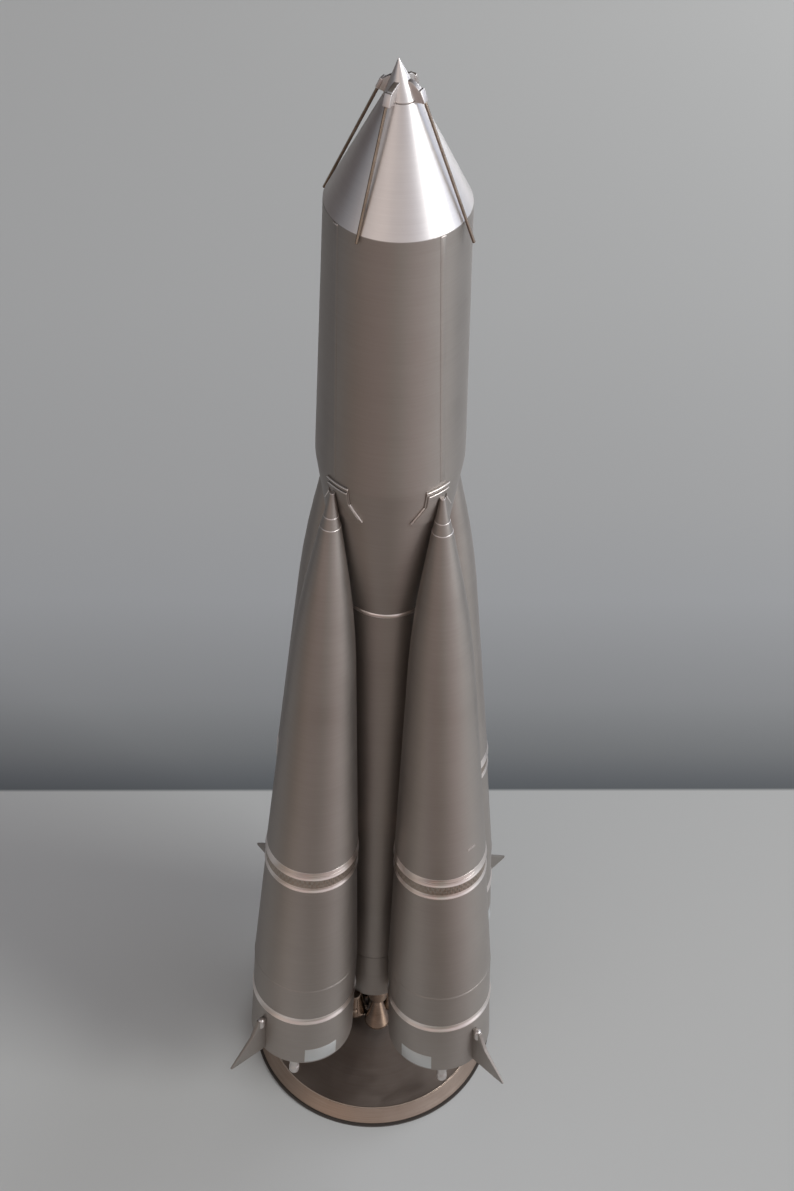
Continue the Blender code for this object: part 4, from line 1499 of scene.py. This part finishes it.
@dataclass(frozen=True)
class SoftLight:
    """One soft square light that points at the rocket, placed by its direction and distance."""

    name: str
    azimuth: float
    elevation: float
    distance: float
    size: float
    watts: float
    colour: Light
    aim: tuple[float, float, float] = (0.0, 0.0, 200.0)
    spread: float = 180.0

    def build(self) -> None:
        """Make the light."""
        data = bpy.data.lights.new(self.name, "AREA")
        data.shape = "SQUARE"
        data.size = self.size * MM
        data.energy = self.watts
        data.color = self.colour
        data.spread = math.radians(self.spread)
        light = bpy.data.objects.new(self.name, data)
        level = math.cos(math.radians(self.elevation)) * self.distance
        across, along = around(level, math.radians(self.azimuth))
        rise = math.sin(math.radians(self.elevation)) * self.distance
        direction = Vector((across, along, rise))
        light.location = (direction + Vector(self.aim)) * MM
        light.rotation_euler = (-direction).to_track_quat("-Z", "Y").to_euler()
        bpy.context.scene.collection.objects.link(light)


@dataclass(frozen=True)
class ReflectorCard:
    """Card that lies before the rocket, outside the view, and shows only in the metal.

    Its glow blends between the corners of a coarse grid, given row by row from the nearest.
    """

    name: str = "floor_card"
    columns: tuple[float, ...] = (-700.0, -200.0, -60.0, 60.0, 200.0, 700.0)
    rows: tuple[float, ...] = (-105.0, -230.0, -420.0, -1200.0)
    near: tuple[Light, ...] = (
        (0.0, 0.0, 0.0), (0.0, 0.0, 0.0), (0.76, 0.77, 0.78), (0.08, 0.09, 0.05),
        (0.75, 0.65, 0.66), (0.75, 0.65, 0.66))
    middle: tuple[Light, ...] = (
        (0.30, 0.22, 0.13), (0.30, 0.22, 0.13), (0.0, 0.0, 0.0), (0.15, 0.03, 0.02),
        (0.34, 0.25, 0.22), (0.34, 0.25, 0.22))
    far: tuple[Light, ...] = (
        (0.23, 0.16, 0.17), (0.23, 0.16, 0.17), (0.45, 0.275, 0.23), (0.17, 0.30, 0.24),
        (0.64, 0.53, 0.52), (0.64, 0.53, 0.52))
    height: float = 1.0

    def build(self) -> None:
        """Make the card."""
        bm = bmesh.new()
        steps = (len(self.columns) - 1, len(self.rows) - 1)
        bmesh.ops.create_grid(bm, x_segments=steps[0], y_segments=steps[1], size=0.5)
        glows = []
        for vert in bm.verts:
            column = round((vert.co.x + 0.5) * steps[0])
            row = round((0.5 - vert.co.y) * steps[1])
            glows.append((self.near, self.middle, self.far, self.far)[row][column])
            vert.co = Vector((self.columns[column], self.rows[row], self.height)) * MM
        mesh = bpy.data.meshes.new(self.name)
        bm.to_mesh(mesh)
        bm.free()
        glow = mesh.attributes.new("glow", "FLOAT_VECTOR", "POINT")
        glow.data.foreach_set("vector", np.array(glows, np.float32).ravel())
        material = bpy.data.materials.new(self.name)
        material.use_nodes = True
        tree = material.node_tree
        shader = tree.nodes["Principled BSDF"]
        shown = add_node(
            tree, "ShaderNodeAttribute", attribute_name="glow", attribute_type="GEOMETRY")
        shader.inputs["Base Color"].default_value = (0.0, 0.0, 0.0, 1.0)
        shader.inputs["Specular IOR Level"].default_value = 0.0
        shader.inputs["Emission Strength"].default_value = 1.0
        tree.links.new(shown.outputs["Vector"], shader.inputs["Emission Color"])
        mesh.materials.append(material)
        card = bpy.data.objects.new(self.name, mesh)
        bpy.context.scene.collection.objects.link(card)
        card.visible_camera = False
        card.visible_shadow = False
        card.visible_diffuse = False


@dataclass(frozen=True)
class RoomGlow:
    """Soft light of the room, one colour for each side, fading from side to side."""

    front: Light = (0.74, 0.69, 0.69)
    back: Light = (0.0, 0.0, 0.0)
    left: Light = (0.071, 0.056, 0.058)
    right: Light = (0.92, 1.01, 1.21)
    above: Light = (0.077, 0.05, 0.02)

    def build(self) -> None:
        """Make the world and set it as the scene's."""
        world = bpy.data.worlds.new("room")
        world.use_nodes = True
        tree = world.node_tree
        direction = add_node(tree, "ShaderNodeTexCoord").outputs["Generated"]
        total = None
        sides = (
            ((0.0, -1.0, 0.0), self.front), ((0.0, 1.0, 0.0), self.back),
            ((-1.0, 0.0, 0.0), self.left), ((1.0, 0.0, 0.0), self.right),
            ((0.0, 0.0, 1.0), self.above))
        for side, colour in sides:
            facing = add_node(
                tree, "ShaderNodeVectorMath", {0: direction, 1: side}, operation="DOT_PRODUCT")
            seen = add_node(
                tree, "ShaderNodeMath", {0: facing.outputs["Value"], 1: 0.0}, operation="MAXIMUM")
            share = add_node(
                tree, "ShaderNodeMath", {0: seen.outputs[0], 1: 2.0}, operation="POWER")
            glow = add_node(
                tree, "ShaderNodeVectorMath", {0: colour, "Scale": share.outputs[0]},
                operation="SCALE")
            total = glow.outputs[0] if total is None else add_node(
                tree, "ShaderNodeVectorMath", {0: total, 1: glow.outputs[0]},
                operation="ADD").outputs[0]
        tree.links.new(total, tree.nodes["Background"].inputs["Color"])
        bpy.context.scene.world = world


@dataclass(frozen=True)
class Studio:
    """Pale table in soft window light from the right, with a graded card in front."""

    table_half: float = 2500.0
    room: RoomGlow = RoomGlow()
    lights: tuple[SoftLight, ...] = (
        SoftLight("window_right", 70.0, 28.0, 2400.0, 900.0, 26.4, (0.98, 1.0, 0.98)),
        SoftLight("back_right", 140.0, 15.0, 1600.0, 600.0, 5.2, (0.92, 0.96, 1.0)),
        SoftLight("high_left", -56.0, 45.0, 1600.0, 2400.0, 4.6, (0.70, 0.85, 1.0)),
        SoftLight("low_left", -32.0, 15.0, 1600.0, 1100.0, 1.1, (1.0, 0.68, 0.42)),
    )
    card: ReflectorCard = ReflectorCard()

    def build(self) -> None:
        """Build the table, the room's light, the lamps and the card."""
        bm = bmesh.new()
        bmesh.ops.create_grid(bm, x_segments=1, y_segments=1, size=self.table_half * MM)
        mesh = bpy.data.meshes.new("table")
        bm.to_mesh(mesh)
        bm.free()
        mesh.materials.append(TableFinish().material())
        table = bpy.data.objects.new("table", mesh)
        bpy.context.scene.collection.objects.link(table)
        self.room.build()
        bpy.context.scene.view_settings.view_transform = "Standard"
        for light in self.lights:
            light.build()
        self.card.build()


def main() -> None:
    """Build the scene in order and report each piece."""
    logging.basicConfig(level=logging.INFO, format="%(name)s: %(message)s")
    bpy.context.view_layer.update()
    PhotoCamera().build()
    Studio().build()
    Stand().build()
    Core().build()
    Nose().build()
    CoreEngine().build()
    for index, name in enumerate(BOOSTER_NAMES):
        Booster(name, QUARTER / 2.0 + index * QUARTER).build()
    bpy.context.view_layer.update()


if __name__ == "__main__":
    main()
